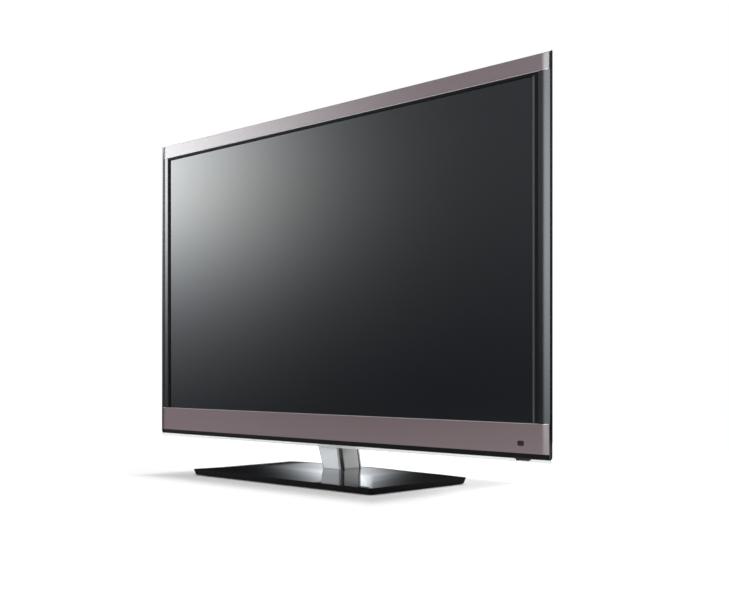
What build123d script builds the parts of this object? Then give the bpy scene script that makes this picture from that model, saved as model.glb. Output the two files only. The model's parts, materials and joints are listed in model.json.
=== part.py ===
"""LED television on a swivelling stand: an edge-lit flat set with a glossy base.

Millimetres. X runs across the screen, +Y points to the back of the set and +Z up.
The origin lies on the floor, under the middle of the stand's base.
Depths are counted backwards from the front face of the screen's metal bars.
"""
from build123d import *
import math
import os

os.makedirs("parts", exist_ok=True)

# Driving dimensions: the picture and the bands around it, from the floor up
PICTURE_W, PICTURE_H = 1045.0, 588.0     # opening for a 47-inch picture, 1040 by 585
SET_LIFT = 67.0                          # floor to the lower edge of the clear strip
CLEAR_H = 7.0                            # clear strip under the set
STRIP_H = 7.6                            # black strip over it
LOWER_BAR_H = 51.6
BORDER_H = 5.3                           # black border between picture and upper bar
UPPER_BAR_H = 31.4

# Driving dimensions: the bands beside the picture
BORDER_W = 16.5                          # black border between picture and side trim
TRIM_W = 13.0                            # light trim, which rolls back towards the edge
LIP_W = 8.0                              # black lip outside the trim
CORNER_R = 3.0

# Driving dimensions: depths of the set
BORDER_SINK = 0.8                        # black border behind the bars' face
BAR_T = 2.0
LIP_SINK = 2.2
FACE_T = 1.0                             # frame plate behind the bars
EDGE_T = 0.9                             # width of the set's outermost edge
FRAME_D = 10.0                           # depth of the front frame
FRAME_TAPER = 7.0                        # how far its skirt draws in
SET_D = 30.0                             # depth of the whole cabinet
COVER_TAPER = 25.0                       # how far the back cover draws in
WALL = 2.2                               # moulded wall
SKIRT_T = 3.5                            # skirt wall where frame and cover meet
SEAT = 0.3                               # gap that keeps neighbouring pieces apart

# Driving dimensions: the layers behind the picture
CELL_T = 1.8
CELL_EDGE_X, CELL_EDGE_Z = 8.5, 20.0     # glass beyond the opening
SHEET_T = 1.0
GUIDE_T = 3.1
REFLECTOR_T = 0.7
GUIDE_EDGE = 4.5                         # light guide beyond the opening
LED_BAR_H = 8.0
CHASSIS_T = 1.2
CHASSIS_INSET = 4.0                      # from the skirt's wall, all round
BOARD_T = 1.6
BOARD_STAND = 2.2                        # boards stand this far off the chassis

# Driving dimensions: the stand
BASE_W, BASE_D = 526.0, 294.0
BASE_FLARE = 2.0                         # each side runs out by this much to the back
BASE_BOW = 24.0                          # bow of the rear edge
BASE_CORNER = 7.0
BASE_UNDERCUT = 3.5
BASE_CLEAR = 1.5                         # floor to the cover's lower edge
BASE_RIM_Z = 13.0
BASE_TOP_Z = 20.5
BASE_WALL = 2.5
AXIS_BACK = 100.5                        # swivel axis to the base's rear edge
FOOT_R, FOOT_H = 9.0, 3.0
PLATE_T = 2.5
SWIVEL_R = 58.0
SWIVEL_T = 3.0
BEARING_T = 2.0
SWIVEL_LIMIT = 20.0                      # degrees each way
RUNNING = 0.3                            # gap between turning and fixed pieces
TURNTABLE_R = 46.0
TURNTABLE_T = 2.7

# Driving dimensions: the neck
NECK_W = 54.6                            # width at the foot
NECK_FLARE = 0.0875                      # widening of each side for each mm of height
NECK_START = 38.0                        # depth of its front face at the foot
NECK_LEAN_FRONT, NECK_LEAN_BACK = 0.32, 0.25
NECK_FACE_T = 3.0                        # bright front plate
NECK_GROOVE = 13.0                       # black spacer behind it
NECK_SHELL = 34.0                        # grey rear shell
NECK_EDGE = 7.0                          # dark rear edge
GROOVE_SINK = 3.0
POST_INSET = 9.0
HOUSING_W, HOUSING_D, HOUSING_H = 210.0, 87.0, 150.0
HOUSING_WAIST_H = 36.0

# Driving dimensions: what is fitted to the back
VESA = 400.0
VESA_Z = 405.0
VESA_HOLE_R = 3.0
VESA_BOSS_R = 8.0
SCREW_R, SCREW_HEAD_R, SCREW_HEAD_T = 1.5, 3.2, 1.3
POCKET_D = 15.8                          # depth of the socket pockets
SIDE_POCKET_X, SIDE_POCKET_W = -470.0, 68.0
SIDE_POCKET_Z, SIDE_POCKET_H = 325.0, 200.0
LOW_POCKET_X, LOW_POCKET_W = -395.0, 170.0
LOW_POCKET_Z, LOW_POCKET_H = 135.0, 80.0
POWER_POCKET_X, POWER_POCKET_W = 300.0, 80.0
JACK_PLATE_T = 1.5
VENT_W, VENT_H = 560.0, 34.0
VENT_RIB, VENT_SLOT = 4.0, 8.0
KEY_X, KEY_Z = 503.0, 336.0              # lowest key's centre
KEY_PITCH = 17.0
KEY_W, KEY_H = 10.0, 8.0
KEY_PROUD = 0.8
KEY_TRAVEL = 0.8
KEY_GAP = 0.5
ROCKER_H = 26.0
ROCKER_ANGLE = 4.0
ROCKER_PITCH = 37.0
PIVOT_R, PIVOT_FIT = 1.0, 0.05

# Heights and widths that follow from them
STRIP_Z = SET_LIFT + CLEAR_H
LOWER_BAR_Z = STRIP_Z + STRIP_H
PICTURE_Z = LOWER_BAR_Z + LOWER_BAR_H
PICTURE_TOP = PICTURE_Z + PICTURE_H
UPPER_BAR_Z = PICTURE_TOP + BORDER_H
SET_TOP = UPPER_BAR_Z + UPPER_BAR_H
PICTURE_X = PICTURE_W / 2
TRIM_X = PICTURE_X + BORDER_W
LIP_X = TRIM_X + TRIM_W
SET_X = LIP_X + LIP_W
COVER_X = SET_X - FRAME_TAPER
COVER_Z, COVER_TOP = STRIP_Z + FRAME_TAPER, SET_TOP - FRAME_TAPER
INNER_X = COVER_X - SKIRT_T
INNER_Z, INNER_TOP = COVER_Z + SKIRT_T, COVER_TOP - SKIRT_T

# Depths that follow from them
CELL_D = BAR_T + FACE_T
SHEET_D = CELL_D + CELL_T
GUIDE_D = SHEET_D + SHEET_T
REFLECTOR_D = GUIDE_D + GUIDE_T
CHASSIS_D = REFLECTOR_D + REFLECTOR_T
REAR_D = CHASSIS_D + CHASSIS_T
BOARD_D = REAR_D + BOARD_STAND
BOARD_REAR = BOARD_D + BOARD_T
COVER_IN = SET_D - WALL
POCKET_FLOOR = SET_D - POCKET_D

# Stand heights that follow from them
PLATE_Z = FOOT_H
BEARING_Z = PLATE_Z + PLATE_T
SWIVEL_Z = BEARING_Z + BEARING_T
SWIVEL_TOP = SWIVEL_Z + SWIVEL_T
NECK_DEPTH = NECK_FACE_T + NECK_GROOVE + NECK_SHELL + NECK_EDGE
NECK_TOP_Z = STRIP_Z + 5.0
BASE_X, BASE_FRONT, BASE_REAR = BASE_W / 2, -BASE_D / 2, BASE_D / 2
AXIS_Y = BASE_REAR - AXIS_BACK
FRONT_Y = AXIS_Y - NECK_DEPTH / 2 - NECK_START


def at(depth):
    """Y of a plane that lies so far behind the bars' front face."""
    return FRONT_Y + depth


def block(x0, x1, y0, y1, z0, z1):
    return Pos(x0, y0, z0) * Box(x1 - x0, y1 - y0, z1 - z0, align=(Align.MIN,) * 3)


def slab(x0, x1, z0, z1, front, back, radius=0):
    """A plate parallel to the screen, between two depths."""
    width, height = x1 - x0, z1 - z0
    outline = RectangleRounded(width, height, radius) if radius else Rectangle(width, height)
    plane = Plane.XZ.offset(-at(back))
    return extrude(plane * Pos((x0 + x1) / 2, (z0 + z1) / 2) * outline, amount=back - front)


def rod_y(x, z, front, back, radius):
    """A cylinder square to the screen."""
    return extrude(Plane.XZ.offset(-at(back)) * Pos(x, z) * Circle(radius), amount=back - front)


def rod_z(x, y, z0, z1, radius):
    return Pos(x, y, z0) * Cylinder(radius, z1 - z0, align=(Align.CENTER, Align.CENTER, Align.MIN))


def rod_x(x0, x1, depth, z, radius):
    return extrude(Plane.YZ.offset(x0) * Pos(at(depth), z) * Circle(radius), amount=x1 - x0)


def drawn_in(half0, z0, top0, front, back, taper, radius=CORNER_R):
    """A rectangular body that narrows by taper on all four sides from front to back."""
    faces = []
    for depth, inset in ((front, 0.0), (back, taper)):
        outline = RectangleRounded(2 * (half0 - inset), top0 - z0 - 2 * inset, radius)
        faces.append(Plane.XZ.offset(-at(depth)) * Pos(0, (z0 + top0) / 2) * outline)
    return loft(faces, ruled=True)


def spread(low, high, count):
    """Evenly spaced places from low to high."""
    return [low + (high - low) * i / (count - 1) for i in range(count)]


def save(shape, name):
    export_step(shape, f"parts/{name}.step")


# Front frame: the black moulding that carries the bars, the trims and the picture
def front_frame():
    frame = slab(-SET_X, SET_X, STRIP_Z, SET_TOP, LIP_SINK, LIP_SINK + EDGE_T, CORNER_R)
    frame += slab(-LIP_X, LIP_X, STRIP_Z, SET_TOP, BORDER_SINK, LIP_SINK)
    frame += drawn_in(SET_X, STRIP_Z, SET_TOP, LIP_SINK + EDGE_T, FRAME_D, FRAME_TAPER)
    frame -= slab(-INNER_X, INNER_X, INNER_Z, INNER_TOP, CELL_D, FRAME_D)
    frame -= slab(-LIP_X, LIP_X, LOWER_BAR_Z, PICTURE_Z, 0, BAR_T)
    frame -= slab(-LIP_X, LIP_X, UPPER_BAR_Z, SET_TOP, 0, BAR_T)
    for x in (-LIP_X, TRIM_X):
        frame -= slab(x, x + TRIM_W, PICTURE_Z, UPPER_BAR_Z, 0, BAR_T)
    frame -= slab(-PICTURE_X, PICTURE_X, PICTURE_Z, PICTURE_TOP, 0, CELL_D)
    frame -= slab(WINDOW_X - WINDOW_W / 2, WINDOW_X + WINDOW_W / 2, WINDOW_Z - WINDOW_H / 2,
                  WINDOW_Z + WINDOW_H / 2, 0, CELL_D, WINDOW_R)
    return frame


# Bars and trims: metal-faced strips whose ends roll back to the lip
WINDOW_X, WINDOW_Z = 497.0, SET_LIFT + 31.5
WINDOW_W, WINDOW_H, WINDOW_R = 14.0, 9.0, 4.0


def rolled_edge(side):
    """The rolled end of a bar or trim, from its flat face out to the lip."""
    return TangentArc((side * TRIM_X, at(0)), (side * LIP_X, at(BAR_T)), tangent=(side, 0))


def bar(z, height):
    face = Curve() + [rolled_edge(1), rolled_edge(-1), Line((-TRIM_X, at(0)), (TRIM_X, at(0))),
                      Line((-LIP_X, at(BAR_T)), (LIP_X, at(BAR_T)))]
    return extrude(Plane.XY.offset(z) * make_face(face), amount=height)


def lower_bar():
    hole = slab(WINDOW_X - WINDOW_W / 2, WINDOW_X + WINDOW_W / 2, WINDOW_Z - WINDOW_H / 2,
                WINDOW_Z + WINDOW_H / 2, 0, BAR_T, WINDOW_R)
    return bar(LOWER_BAR_Z, LOWER_BAR_H) - hole


def side_trim(side):
    face = Curve() + [rolled_edge(side), Line((side * LIP_X, at(BAR_T)), (side * TRIM_X, at(BAR_T))),
                      Line((side * TRIM_X, at(BAR_T)), (side * TRIM_X, at(0)))]
    return extrude(Plane.XY.offset(PICTURE_Z) * make_face(face), amount=UPPER_BAR_Z - PICTURE_Z)


# Clear strip, receiver lens and indicator window along the lower edge
LENS_X, LENS_TOP_W, LENS_LOW_W, LENS_H, LENS_D = 500.0, 34.0, 26.0, 5.0, 7.0
CLEAR_D, CLEAR_T = 0.9, 2.2
CLEAR_END = 2.0                          # the clear strip stops short of the lip's edge


def clear_strip():
    half = SET_X - CLEAR_END
    strip = slab(-half, half, SET_LIFT, STRIP_Z, CLEAR_D, CLEAR_D + CLEAR_T)
    lens_half = LENS_TOP_W / 2 + SEAT
    return strip - slab(LENS_X - lens_half, LENS_X + lens_half, STRIP_Z - LENS_H - SEAT, STRIP_Z, 0, SET_D)


def receiver_lens():
    z = STRIP_Z - LENS_H
    outline = Polyline((LENS_X - LENS_TOP_W / 2, STRIP_Z), (LENS_X + LENS_TOP_W / 2, STRIP_Z),
                       (LENS_X + LENS_LOW_W / 2, z), (LENS_X - LENS_LOW_W / 2, z), close=True)
    return extrude(Plane.XZ.offset(-at(LENS_D)) * make_face(outline), amount=LENS_D - BORDER_SINK / 2)


def indicator_window():
    inset = 0.1
    half_w, half_h = WINDOW_W / 2 - inset, WINDOW_H / 2 - inset
    return slab(WINDOW_X - half_w, WINDOW_X + half_w, WINDOW_Z - half_h, WINDOW_Z + half_h,
                0.2, CELL_D, WINDOW_R - inset)


SENSOR_W, SENSOR_D = 60.0, 6.0


def sensor_board():
    """Small board on the frame's floor with the receiver and the indicator's lamp."""
    board = block(LENS_X - SENSOR_W / 2, LENS_X + SENSOR_W / 2, at(CELL_D + SEAT), at(CELL_D + SENSOR_D),
                  INNER_Z, INNER_Z + BOARD_T)
    top = INNER_Z + BOARD_T
    board += block(LENS_X + 4, LENS_X + 12, at(4), at(8), top, top + 6)
    return board + block(WINDOW_X - 5, WINDOW_X - 1, at(4), at(7), top, WINDOW_Z + 1)


# Picture layers, from the glass back to the chassis
def picture_cell():
    return slab(-PICTURE_X - CELL_EDGE_X, PICTURE_X + CELL_EDGE_X, PICTURE_Z - CELL_EDGE_Z,
                PICTURE_TOP + CELL_EDGE_Z, CELL_D, SHEET_D)


def layer(front, back, edge):
    return slab(-PICTURE_X - edge, PICTURE_X + edge, PICTURE_Z - edge, PICTURE_TOP + edge, front, back)


GUIDE_GAP = 1.0                          # lamps to the light guide's edge


def led_bar(z):
    """A strip of lamps along one long edge of the light guide."""
    half = PICTURE_X + GUIDE_EDGE
    strip = slab(-half, half, z, z + LED_BAR_H, REFLECTOR_D - 1.0, CHASSIS_D)
    for x in spread(-half + 15, half - 15, 36):
        strip += slab(x - 2.5, x + 2.5, z + 2.5, z + 5.5, REFLECTOR_D - 2.2, REFLECTOR_D - 1.0)
    return strip


LED_LOW_Z = PICTURE_Z - GUIDE_EDGE - GUIDE_GAP - LED_BAR_H
LED_TOP_Z = PICTURE_TOP + GUIDE_EDGE + GUIDE_GAP
CHASSIS_X = INNER_X - CHASSIS_INSET / 2
CHASSIS_Z, CHASSIS_TOP = INNER_Z + CHASSIS_INSET, INNER_TOP - CHASSIS_INSET / 2


def panel_guide():
    """Moulded frame that the glass rests on; the light guide and the lamps lie inside it."""
    half = PICTURE_X + GUIDE_EDGE + GUIDE_GAP
    ring = slab(-CHASSIS_X, CHASSIS_X, CHASSIS_Z, CHASSIS_TOP, SHEET_D, CHASSIS_D)
    ring -= slab(-half, half, LED_LOW_Z - GUIDE_GAP, LED_TOP_Z + LED_BAR_H + GUIDE_GAP, SHEET_D, CHASSIS_D)
    notch = SENSOR_W / 2 + GUIDE_GAP
    return ring - slab(LENS_X - notch, LENS_X + notch, CHASSIS_Z, CHASSIS_Z + 15, SHEET_D, CHASSIS_D)


# Rear chassis: a pressed steel tray with beads, board studs and the wall-mount standoffs
BOARD_Z = LOW_POCKET_Z + LOW_POCKET_H + WALL + SEAT
BOARDS = {
    "main_board": (SIDE_POCKET_X + SIDE_POCKET_W + WALL + 1.5, -215.0, BOARD_Z, 530.0),
    "power_board": (215.0, 440.0, BOARD_Z, 470.0),
    "timing_board": (-90.0, 90.0, 560.0, 630.0),
}
STUD_R, STUD_INSET = 3.0, 8.0
BEAD_W, BEAD_T = 14.0, 1.5
BEADS = ((-CHASSIS_X + 47.5, 160.0), (-150.0, 250.0), (150.0, 250.0), (CHASSIS_X - 77.5, 160.0))
BEAD_TOP = CHASSIS_TOP - 60.0


def board_corners(name):
    x0, x1, z0, z1 = BOARDS[name]
    return [(x, z) for x in (x0 + STUD_INSET, x1 - STUD_INSET) for z in (z0 + STUD_INSET, z1 - STUD_INSET)]


def rear_chassis():
    tray = slab(-CHASSIS_X, CHASSIS_X, CHASSIS_Z, CHASSIS_TOP, CHASSIS_D, REAR_D)
    for x, z in BEADS:
        tray += slab(x - BEAD_W / 2, x + BEAD_W / 2, z, BEAD_TOP, REAR_D, REAR_D + BEAD_T)
    half = CHASSIS_X - 127.5
    tray += slab(-half, half, BEAD_TOP, BEAD_TOP + BEAD_W, REAR_D, REAR_D + BEAD_T)
    for name in BOARDS:
        for x, z in board_corners(name):
            tray += rod_y(x, z, REAR_D, BOARD_D, STUD_R)
    return tray


def vesa_places():
    return [(x, VESA_Z + dz) for x in (-VESA / 2, VESA / 2) for dz in (-VESA / 2, VESA / 2)]


def vesa_standoffs():
    """Four threaded steel standoffs for a wall bracket."""
    posts = []
    for x, z in vesa_places():
        post = rod_y(x, z, REAR_D, SET_D, VESA_BOSS_R) + rod_y(x, z, REAR_D, REAR_D + 2, VESA_BOSS_R + 4)
        posts.append(post - rod_y(x, z, REAR_D + 3, SET_D, VESA_HOLE_R))
    return Compound(children=posts)


# Boards: bare outlines with their larger parts
def board(name, parts):
    x0, x1, z0, z1 = BOARDS[name]
    shape = slab(x0, x1, z0, z1, BOARD_D, BOARD_REAR)
    for x, z, w, h, t in parts:
        shape += slab(x0 + x, x0 + x + w, z0 + z, z0 + z + h, BOARD_REAR, BOARD_REAR + t)
    return shape


def main_board():
    shape = board("main_board", [(70, 130, 38, 38, 3), (120, 135, 14, 22, 1.2), (120, 165, 14, 22, 1.2),
                                 (20, 60, 60, 34, 7), (125, 250, 30, 12, 4)])
    x0, _, z0, _ = BOARDS["main_board"]
    for x in spread(x0 + 72, x0 + 106, 8):
        shape += slab(x - 0.8, x + 0.8, z0 + 131, z0 + 167, BOARD_REAR + 3, BOARD_REAR + 9)
    return shape


def power_board():
    shape = board("power_board", [(15, 90, 46, 44, 11), (75, 95, 40, 36, 11), (130, 100, 36, 40, 9),
                                  (20, 160, 70, 6, 11), (180, 40, 28, 120, 5), (100, 20, 30, 30, 10)])
    x0, _, z0, _ = BOARDS["power_board"]
    for x, z in ((130, 190), (130, 215), (155, 200)):
        shape += rod_y(x0 + x, z0 + z, BOARD_REAR, BOARD_REAR + 11, 9)
    return shape


def timing_board():
    return board("timing_board", [(50, 12, 80, 40, 4), (10, 55, 40, 8, 3), (130, 55, 40, 8, 3)])


# Speakers: slim boxes that fire downwards behind the lower bar
SPEAKER_X, SPEAKER_W = 255.0, 190.0
SPEAKER_Z, SPEAKER_H = 108.0, 24.0
SPEAKER_T = 15.0


def speaker(side):
    x0 = SPEAKER_X if side > 0 else -SPEAKER_X - SPEAKER_W
    case = slab(x0, x0 + SPEAKER_W, SPEAKER_Z, SPEAKER_Z + SPEAKER_H, REAR_D, REAR_D + SPEAKER_T, 4)
    middle = at(REAR_D + SPEAKER_T / 2)
    for x in (x0 + SPEAKER_W * 0.3, x0 + SPEAKER_W * 0.7):
        case -= rod_z(x, middle, SPEAKER_Z, SPEAKER_Z + 3, 6)
        case += rod_z(x, middle, SPEAKER_Z, SPEAKER_Z + 3, 3)
    return case


# Stand housing: the bulge at the foot of the back cover, where the stand goes in
def housing(inset, z0):
    """The bulge, drawn in by inset on every outer face."""
    sections = ((z0, HOUSING_D, 0), (NECK_TOP_Z + HOUSING_WAIST_H, HOUSING_D - 3, 4),
                (NECK_TOP_Z + HOUSING_H, SET_D + 1, 26))
    faces = []
    for z, depth, narrow in sections:
        back, half = at(depth - inset), HOUSING_W / 2 - narrow - inset
        outline = Rectangle(2 * half, back - at(FRAME_D))
        faces.append(Plane.XY.offset(z - (inset if z > z0 else 0)) * Pos(0, (back + at(FRAME_D)) / 2) * outline)
    return loft(faces, ruled=True)


TONGUE_D, TONGUE_T, TONGUE_X, TONGUE_TOP = 46.0, 10.0, 36.0, 150.0
TONGUE_SCREWS = [(x, z) for x in (-24.0, 24.0) for z in (102.0, 136.0)]
STAND_HOLE_R = 6.0


def neck_y(depth, z):
    """Y of a face that stands so far behind the neck's front at its foot."""
    lean = NECK_LEAN_FRONT + (NECK_LEAN_BACK - NECK_LEAN_FRONT) * depth / NECK_DEPTH
    return at(NECK_START) + depth - lean * (z - BASE_TOP_Z)


def neck_block(depth0, depth1, inset, z0=BASE_TOP_Z, z1=NECK_TOP_Z):
    """A leaning, flaring slice of the neck between two depths."""
    faces = []
    for z in (z0, z1):
        half = NECK_W / 2 + NECK_FLARE * (z - BASE_TOP_Z) - inset
        low, high = neck_y(depth0, z), neck_y(depth1, z)
        faces.append(Plane.XY.offset(z) * Pos(0, (low + high) / 2) * Rectangle(2 * half, high - low))
    return loft(faces, ruled=True)


SHELL_D = NECK_FACE_T + NECK_GROOVE
EDGE_D = SHELL_D + NECK_SHELL
POST_D0, POST_D1 = SHELL_D + 5.0, EDGE_D - 4.0


def neck_face():
    face = neck_block(0, NECK_FACE_T, 0)
    corners = face.edges().filter_by(lambda e: abs(e.tangent_at(0.5).Z) > 0.5).sort_by(Axis.Y)[:2]
    return chamfer(corners, NECK_FACE_T / 3)


def neck_shell():
    return neck_block(SHELL_D, EDGE_D, 0) - neck_block(SHELL_D + WALL, EDGE_D, WALL)


def neck_post():
    """Leaning steel column from the swivel plate, with an upright tongue for the set."""
    foot_z = SWIVEL_TOP
    post = neck_block(POST_D0, POST_D1, POST_INSET, foot_z, NECK_TOP_Z)
    shoulder_z = NECK_TOP_Z + WALL + SEAT
    post += neck_block(POST_D0, POST_D1, POST_INSET, NECK_TOP_Z, shoulder_z + 6)
    post += slab(-TONGUE_X, TONGUE_X, shoulder_z, TONGUE_TOP, TONGUE_D, TONGUE_D + TONGUE_T, 3)
    for x, z in TONGUE_SCREWS:
        post -= rod_y(x, z, TONGUE_D, TONGUE_D + TONGUE_T, 2 * SCREW_R + 0.1)
    return post


BRACKET_X, BRACKET_T, BRACKET_TOP = 60.0, 2.5, 168.0
BRACKET_Z = NECK_TOP_Z + 10.0


def stand_bracket():
    """Hat-shaped steel channel on the chassis that takes the stand's tongue."""
    web = slab(-BRACKET_X, BRACKET_X, BRACKET_Z, BRACKET_TOP, TONGUE_D - BRACKET_T, TONGUE_D)
    for side in (-1, 1):
        x0, x1 = sorted((side * BRACKET_X, side * (BRACKET_X - BRACKET_T)))
        web += slab(x0, x1, BRACKET_Z, BRACKET_TOP, REAR_D, TONGUE_D)
        x0, x1 = sorted((side * BRACKET_X, side * (BRACKET_X + 18)))
        web += slab(x0, x1, BRACKET_Z + 18, BRACKET_TOP, REAR_D, REAR_D + BRACKET_T)
    for x, z in TONGUE_SCREWS:
        web -= rod_y(x, z, TONGUE_D - BRACKET_T, TONGUE_D, 2 * SCREW_R + 0.1)
    return web


def stand_screws():
    screws = []
    for x, z in TONGUE_SCREWS:
        head = rod_y(x, z, TONGUE_D + TONGUE_T, TONGUE_D + TONGUE_T + 3.5, 5)
        screws.append(head + rod_y(x, z, TONGUE_D - BRACKET_T - 2, TONGUE_D + TONGUE_T, 2 * SCREW_R))
    return Compound(children=screws)


# Back cover: the thin moulded shell with its bulge, socket pockets and openings
COVER_SCREWS = ([(x, COVER_TOP - 18) for x in spread(113 - COVER_X, COVER_X - 113, 5)]
                + [(x, COVER_Z + 36) for x in (53 - COVER_X, -150, 150, COVER_X - 53)]
                + [(side * (COVER_X - 20), z) for side in (-1, 1) for z in (240, 560)])
COVER_BOSS_R = 6.5


def pocket_walls(x0, width, z0, height):
    return slab(x0 - WALL, x0 + width + WALL, z0 - WALL, z0 + height + WALL, POCKET_FLOOR - WALL, COVER_IN)


def pocket_space(x0, width, z0, height):
    return slab(x0, x0 + width, z0, z0 + height, POCKET_FLOOR, SET_D + 1)


POCKETS = {
    "side": (SIDE_POCKET_X, SIDE_POCKET_W, SIDE_POCKET_Z, SIDE_POCKET_H),
    "low": (LOW_POCKET_X, LOW_POCKET_W, LOW_POCKET_Z, LOW_POCKET_H),
    "power": (POWER_POCKET_X, POWER_POCKET_W, LOW_POCKET_Z, LOW_POCKET_H),
}
VENTS = {"upper_vent": SET_TOP - 82.0, "lower_vent": 255.0}
LOWER_VENT_W = 240.0


def vent_outline(name):
    return (VENT_W if name == "upper_vent" else LOWER_VENT_W), VENTS[name]


KEY_PLATE_X0, KEY_PLATE_X1 = KEY_X - 13.0, KEY_X + 13.0
KEY_PLATE_Z0 = KEY_Z - 16.0
ROCKER_Z = KEY_Z + 3 * KEY_PITCH + 24.0
KEY_PLATE_Z1 = ROCKER_Z + ROCKER_PITCH + ROCKER_H / 2 + 14.0


def back_cover():
    shell = drawn_in(COVER_X, COVER_Z, COVER_TOP, FRAME_D, SET_D, COVER_TAPER)
    shell += housing(0, NECK_TOP_Z)
    hollow = drawn_in(INNER_X, INNER_Z, INNER_TOP, FRAME_D, COVER_IN, COVER_TAPER - 0.5)
    hollow += housing(WALL, NECK_TOP_Z + WALL)
    shell -= hollow
    for pocket in POCKETS.values():
        shell += pocket_walls(*pocket)
        shell -= pocket_space(*pocket)
    # The wall of each pocket that carries sockets is open for its plate
    x1 = SIDE_POCKET_X + SIDE_POCKET_W
    shell -= slab(x1, x1 + WALL, SIDE_POCKET_Z, SIDE_POCKET_Z + SIDE_POCKET_H, POCKET_FLOOR, COVER_IN)
    top = LOW_POCKET_Z + LOW_POCKET_H
    for x0, width in ((LOW_POCKET_X, LOW_POCKET_W), (POWER_POCKET_X, POWER_POCKET_W)):
        shell -= slab(x0, x0 + width, top, top + WALL, POCKET_FLOOR, COVER_IN)
    for name in VENTS:
        width, z = vent_outline(name)
        shell -= slab(-width / 2 - SEAT, width / 2 + SEAT, z - SEAT, z + VENT_H + SEAT, COVER_IN, SET_D)
    shell -= slab(KEY_PLATE_X0 - SEAT, KEY_PLATE_X1 + SEAT, KEY_PLATE_Z0 - SEAT, KEY_PLATE_Z1 + SEAT,
                  COVER_IN, SET_D)
    for x, z in vesa_places():
        shell -= rod_y(x, z, COVER_IN, SET_D, VESA_BOSS_R + SEAT)
    for x, z in TONGUE_SCREWS:
        shell -= rod_y(x, z, TONGUE_D + TONGUE_T, HOUSING_D + 1, STAND_HOLE_R)
    shell -= neck_block(POST_D0 - SEAT, POST_D1 + SEAT, POST_INSET - SEAT, NECK_TOP_Z - 1, NECK_TOP_Z + WALL + 1)
    for x, z in COVER_SCREWS:
        shell += screw_boss(x, z)
        shell -= rod_y(x, z, REAR_D + 1, SET_D, SCREW_R + 0.1)
        shell -= rod_y(x, z, screw_seat(x, z), SET_D, SCREW_HEAD_R + SEAT)
    return shell


def screw_seat(x, z):
    """Depth of the seat under a cover screw's head: just inside the sloping skin."""
    inward = min(COVER_X - abs(x), z - COVER_Z, COVER_TOP - z)
    share = min(inward / COVER_TAPER, 1.0)
    return FRAME_D + (SET_D - FRAME_D) * share - SCREW_HEAD_T - 6.0 * (share < 1) - 0.2


def screw_boss(x, z):
    """A tube from the chassis to the cover's skin, cut to the cover's outer face."""
    body = drawn_in(COVER_X, COVER_Z, COVER_TOP, FRAME_D, SET_D, COVER_TAPER)
    return rod_y(x, z, REAR_D, SET_D, COVER_BOSS_R) & body


def cover_screws():
    screws = []
    for x, z in COVER_SCREWS:
        seat = screw_seat(x, z)
        screws.append(rod_y(x, z, seat, seat + SCREW_HEAD_T, SCREW_HEAD_R)
                      + rod_y(x, z, REAR_D + 1.5, seat, SCREW_R))
    return Compound(children=screws)


# Vent panels: moulded grilles set into the cover, with upright ribs
def vent_panel(name):
    width, z = vent_outline(name)
    panel = slab(-width / 2, width / 2, z, z + VENT_H, COVER_IN, SET_D, 2)
    count = int((width - 4 * VENT_RIB) / (VENT_RIB + VENT_SLOT))
    for x in spread(-(count - 1) / 2, (count - 1) / 2, count):
        middle = x * (VENT_RIB + VENT_SLOT)
        panel -= slab(middle - VENT_SLOT / 2, middle + VENT_SLOT / 2, z + 4, z + VENT_H - 4, COVER_IN, SET_D)
    return panel


# Sockets and the plates that they look out of
HDMI_W, HDMI_H, HDMI_L, SHELL_T = 15.0, 5.6, 12.0, 0.5
USB_W, USB_H, USB_L = 14.4, 7.0, 14.0
SOCKET_PROUD = 1.0
HDMI_Z = [352.0, 382.0, 412.0]
USB_Z = [448.0, 478.0]
LAN_X, LAN_W, LAN_H, LAN_L = -250.0, 16.0, 12.6, 15.0
AERIAL_X, AERIAL_R = -380.0, 4.7
AV_X, AV_PITCH, AV_COUNT, AV_R = -358.0, 17.0, 5, 4.15
INLET_X, INLET_W, INLET_L = 340.0, 22.0, 16.0
SIDE_PLATE_X = SIDE_POCKET_X + SIDE_POCKET_W
LOW_PLATE_Z = LOW_POCKET_Z + LOW_POCKET_H
SOCKET_D = BOARD_REAR


def side_socket(z, width, height, length, tongue):
    """A metal-shelled socket that looks towards the set's side, with its contact tongue."""
    x0 = SIDE_PLATE_X - SOCKET_PROUD
    y0, y1 = at(SOCKET_D), at(SOCKET_D + height)
    shell = block(x0, x0 + length, y0, y1, z - width / 2, z + width / 2)
    shell -= block(x0, x0 + length - 1, y0 + SHELL_T, y1 - SHELL_T, z - width / 2 + SHELL_T,
                   z + width / 2 - SHELL_T)
    middle = (y0 + y1) / 2
    return shell + block(x0 + 2, x0 + length - 1, middle - tongue / 2, middle + tongue / 2,
                         z - width / 2 + 2, z + width / 2 - 2)


def side_sockets(places, width, height, length, tongue):
    return Compound(children=[side_socket(z, width, height, length, tongue) for z in places])


def side_plate():
    plate = block(SIDE_PLATE_X, SIDE_PLATE_X + JACK_PLATE_T, at(POCKET_FLOOR), at(COVER_IN),
                  SIDE_POCKET_Z, SIDE_POCKET_Z + SIDE_POCKET_H)
    for places, width, height in ((HDMI_Z, HDMI_W, HDMI_H), (USB_Z, USB_W, USB_H)):
        for z in places:
            plate -= block(SIDE_PLATE_X, SIDE_PLATE_X + JACK_PLATE_T, at(SOCKET_D) - 0.1,
                           at(SOCKET_D + height) + 0.1, z - width / 2 - 0.1, z + width / 2 + 0.1)
    return plate


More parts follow.
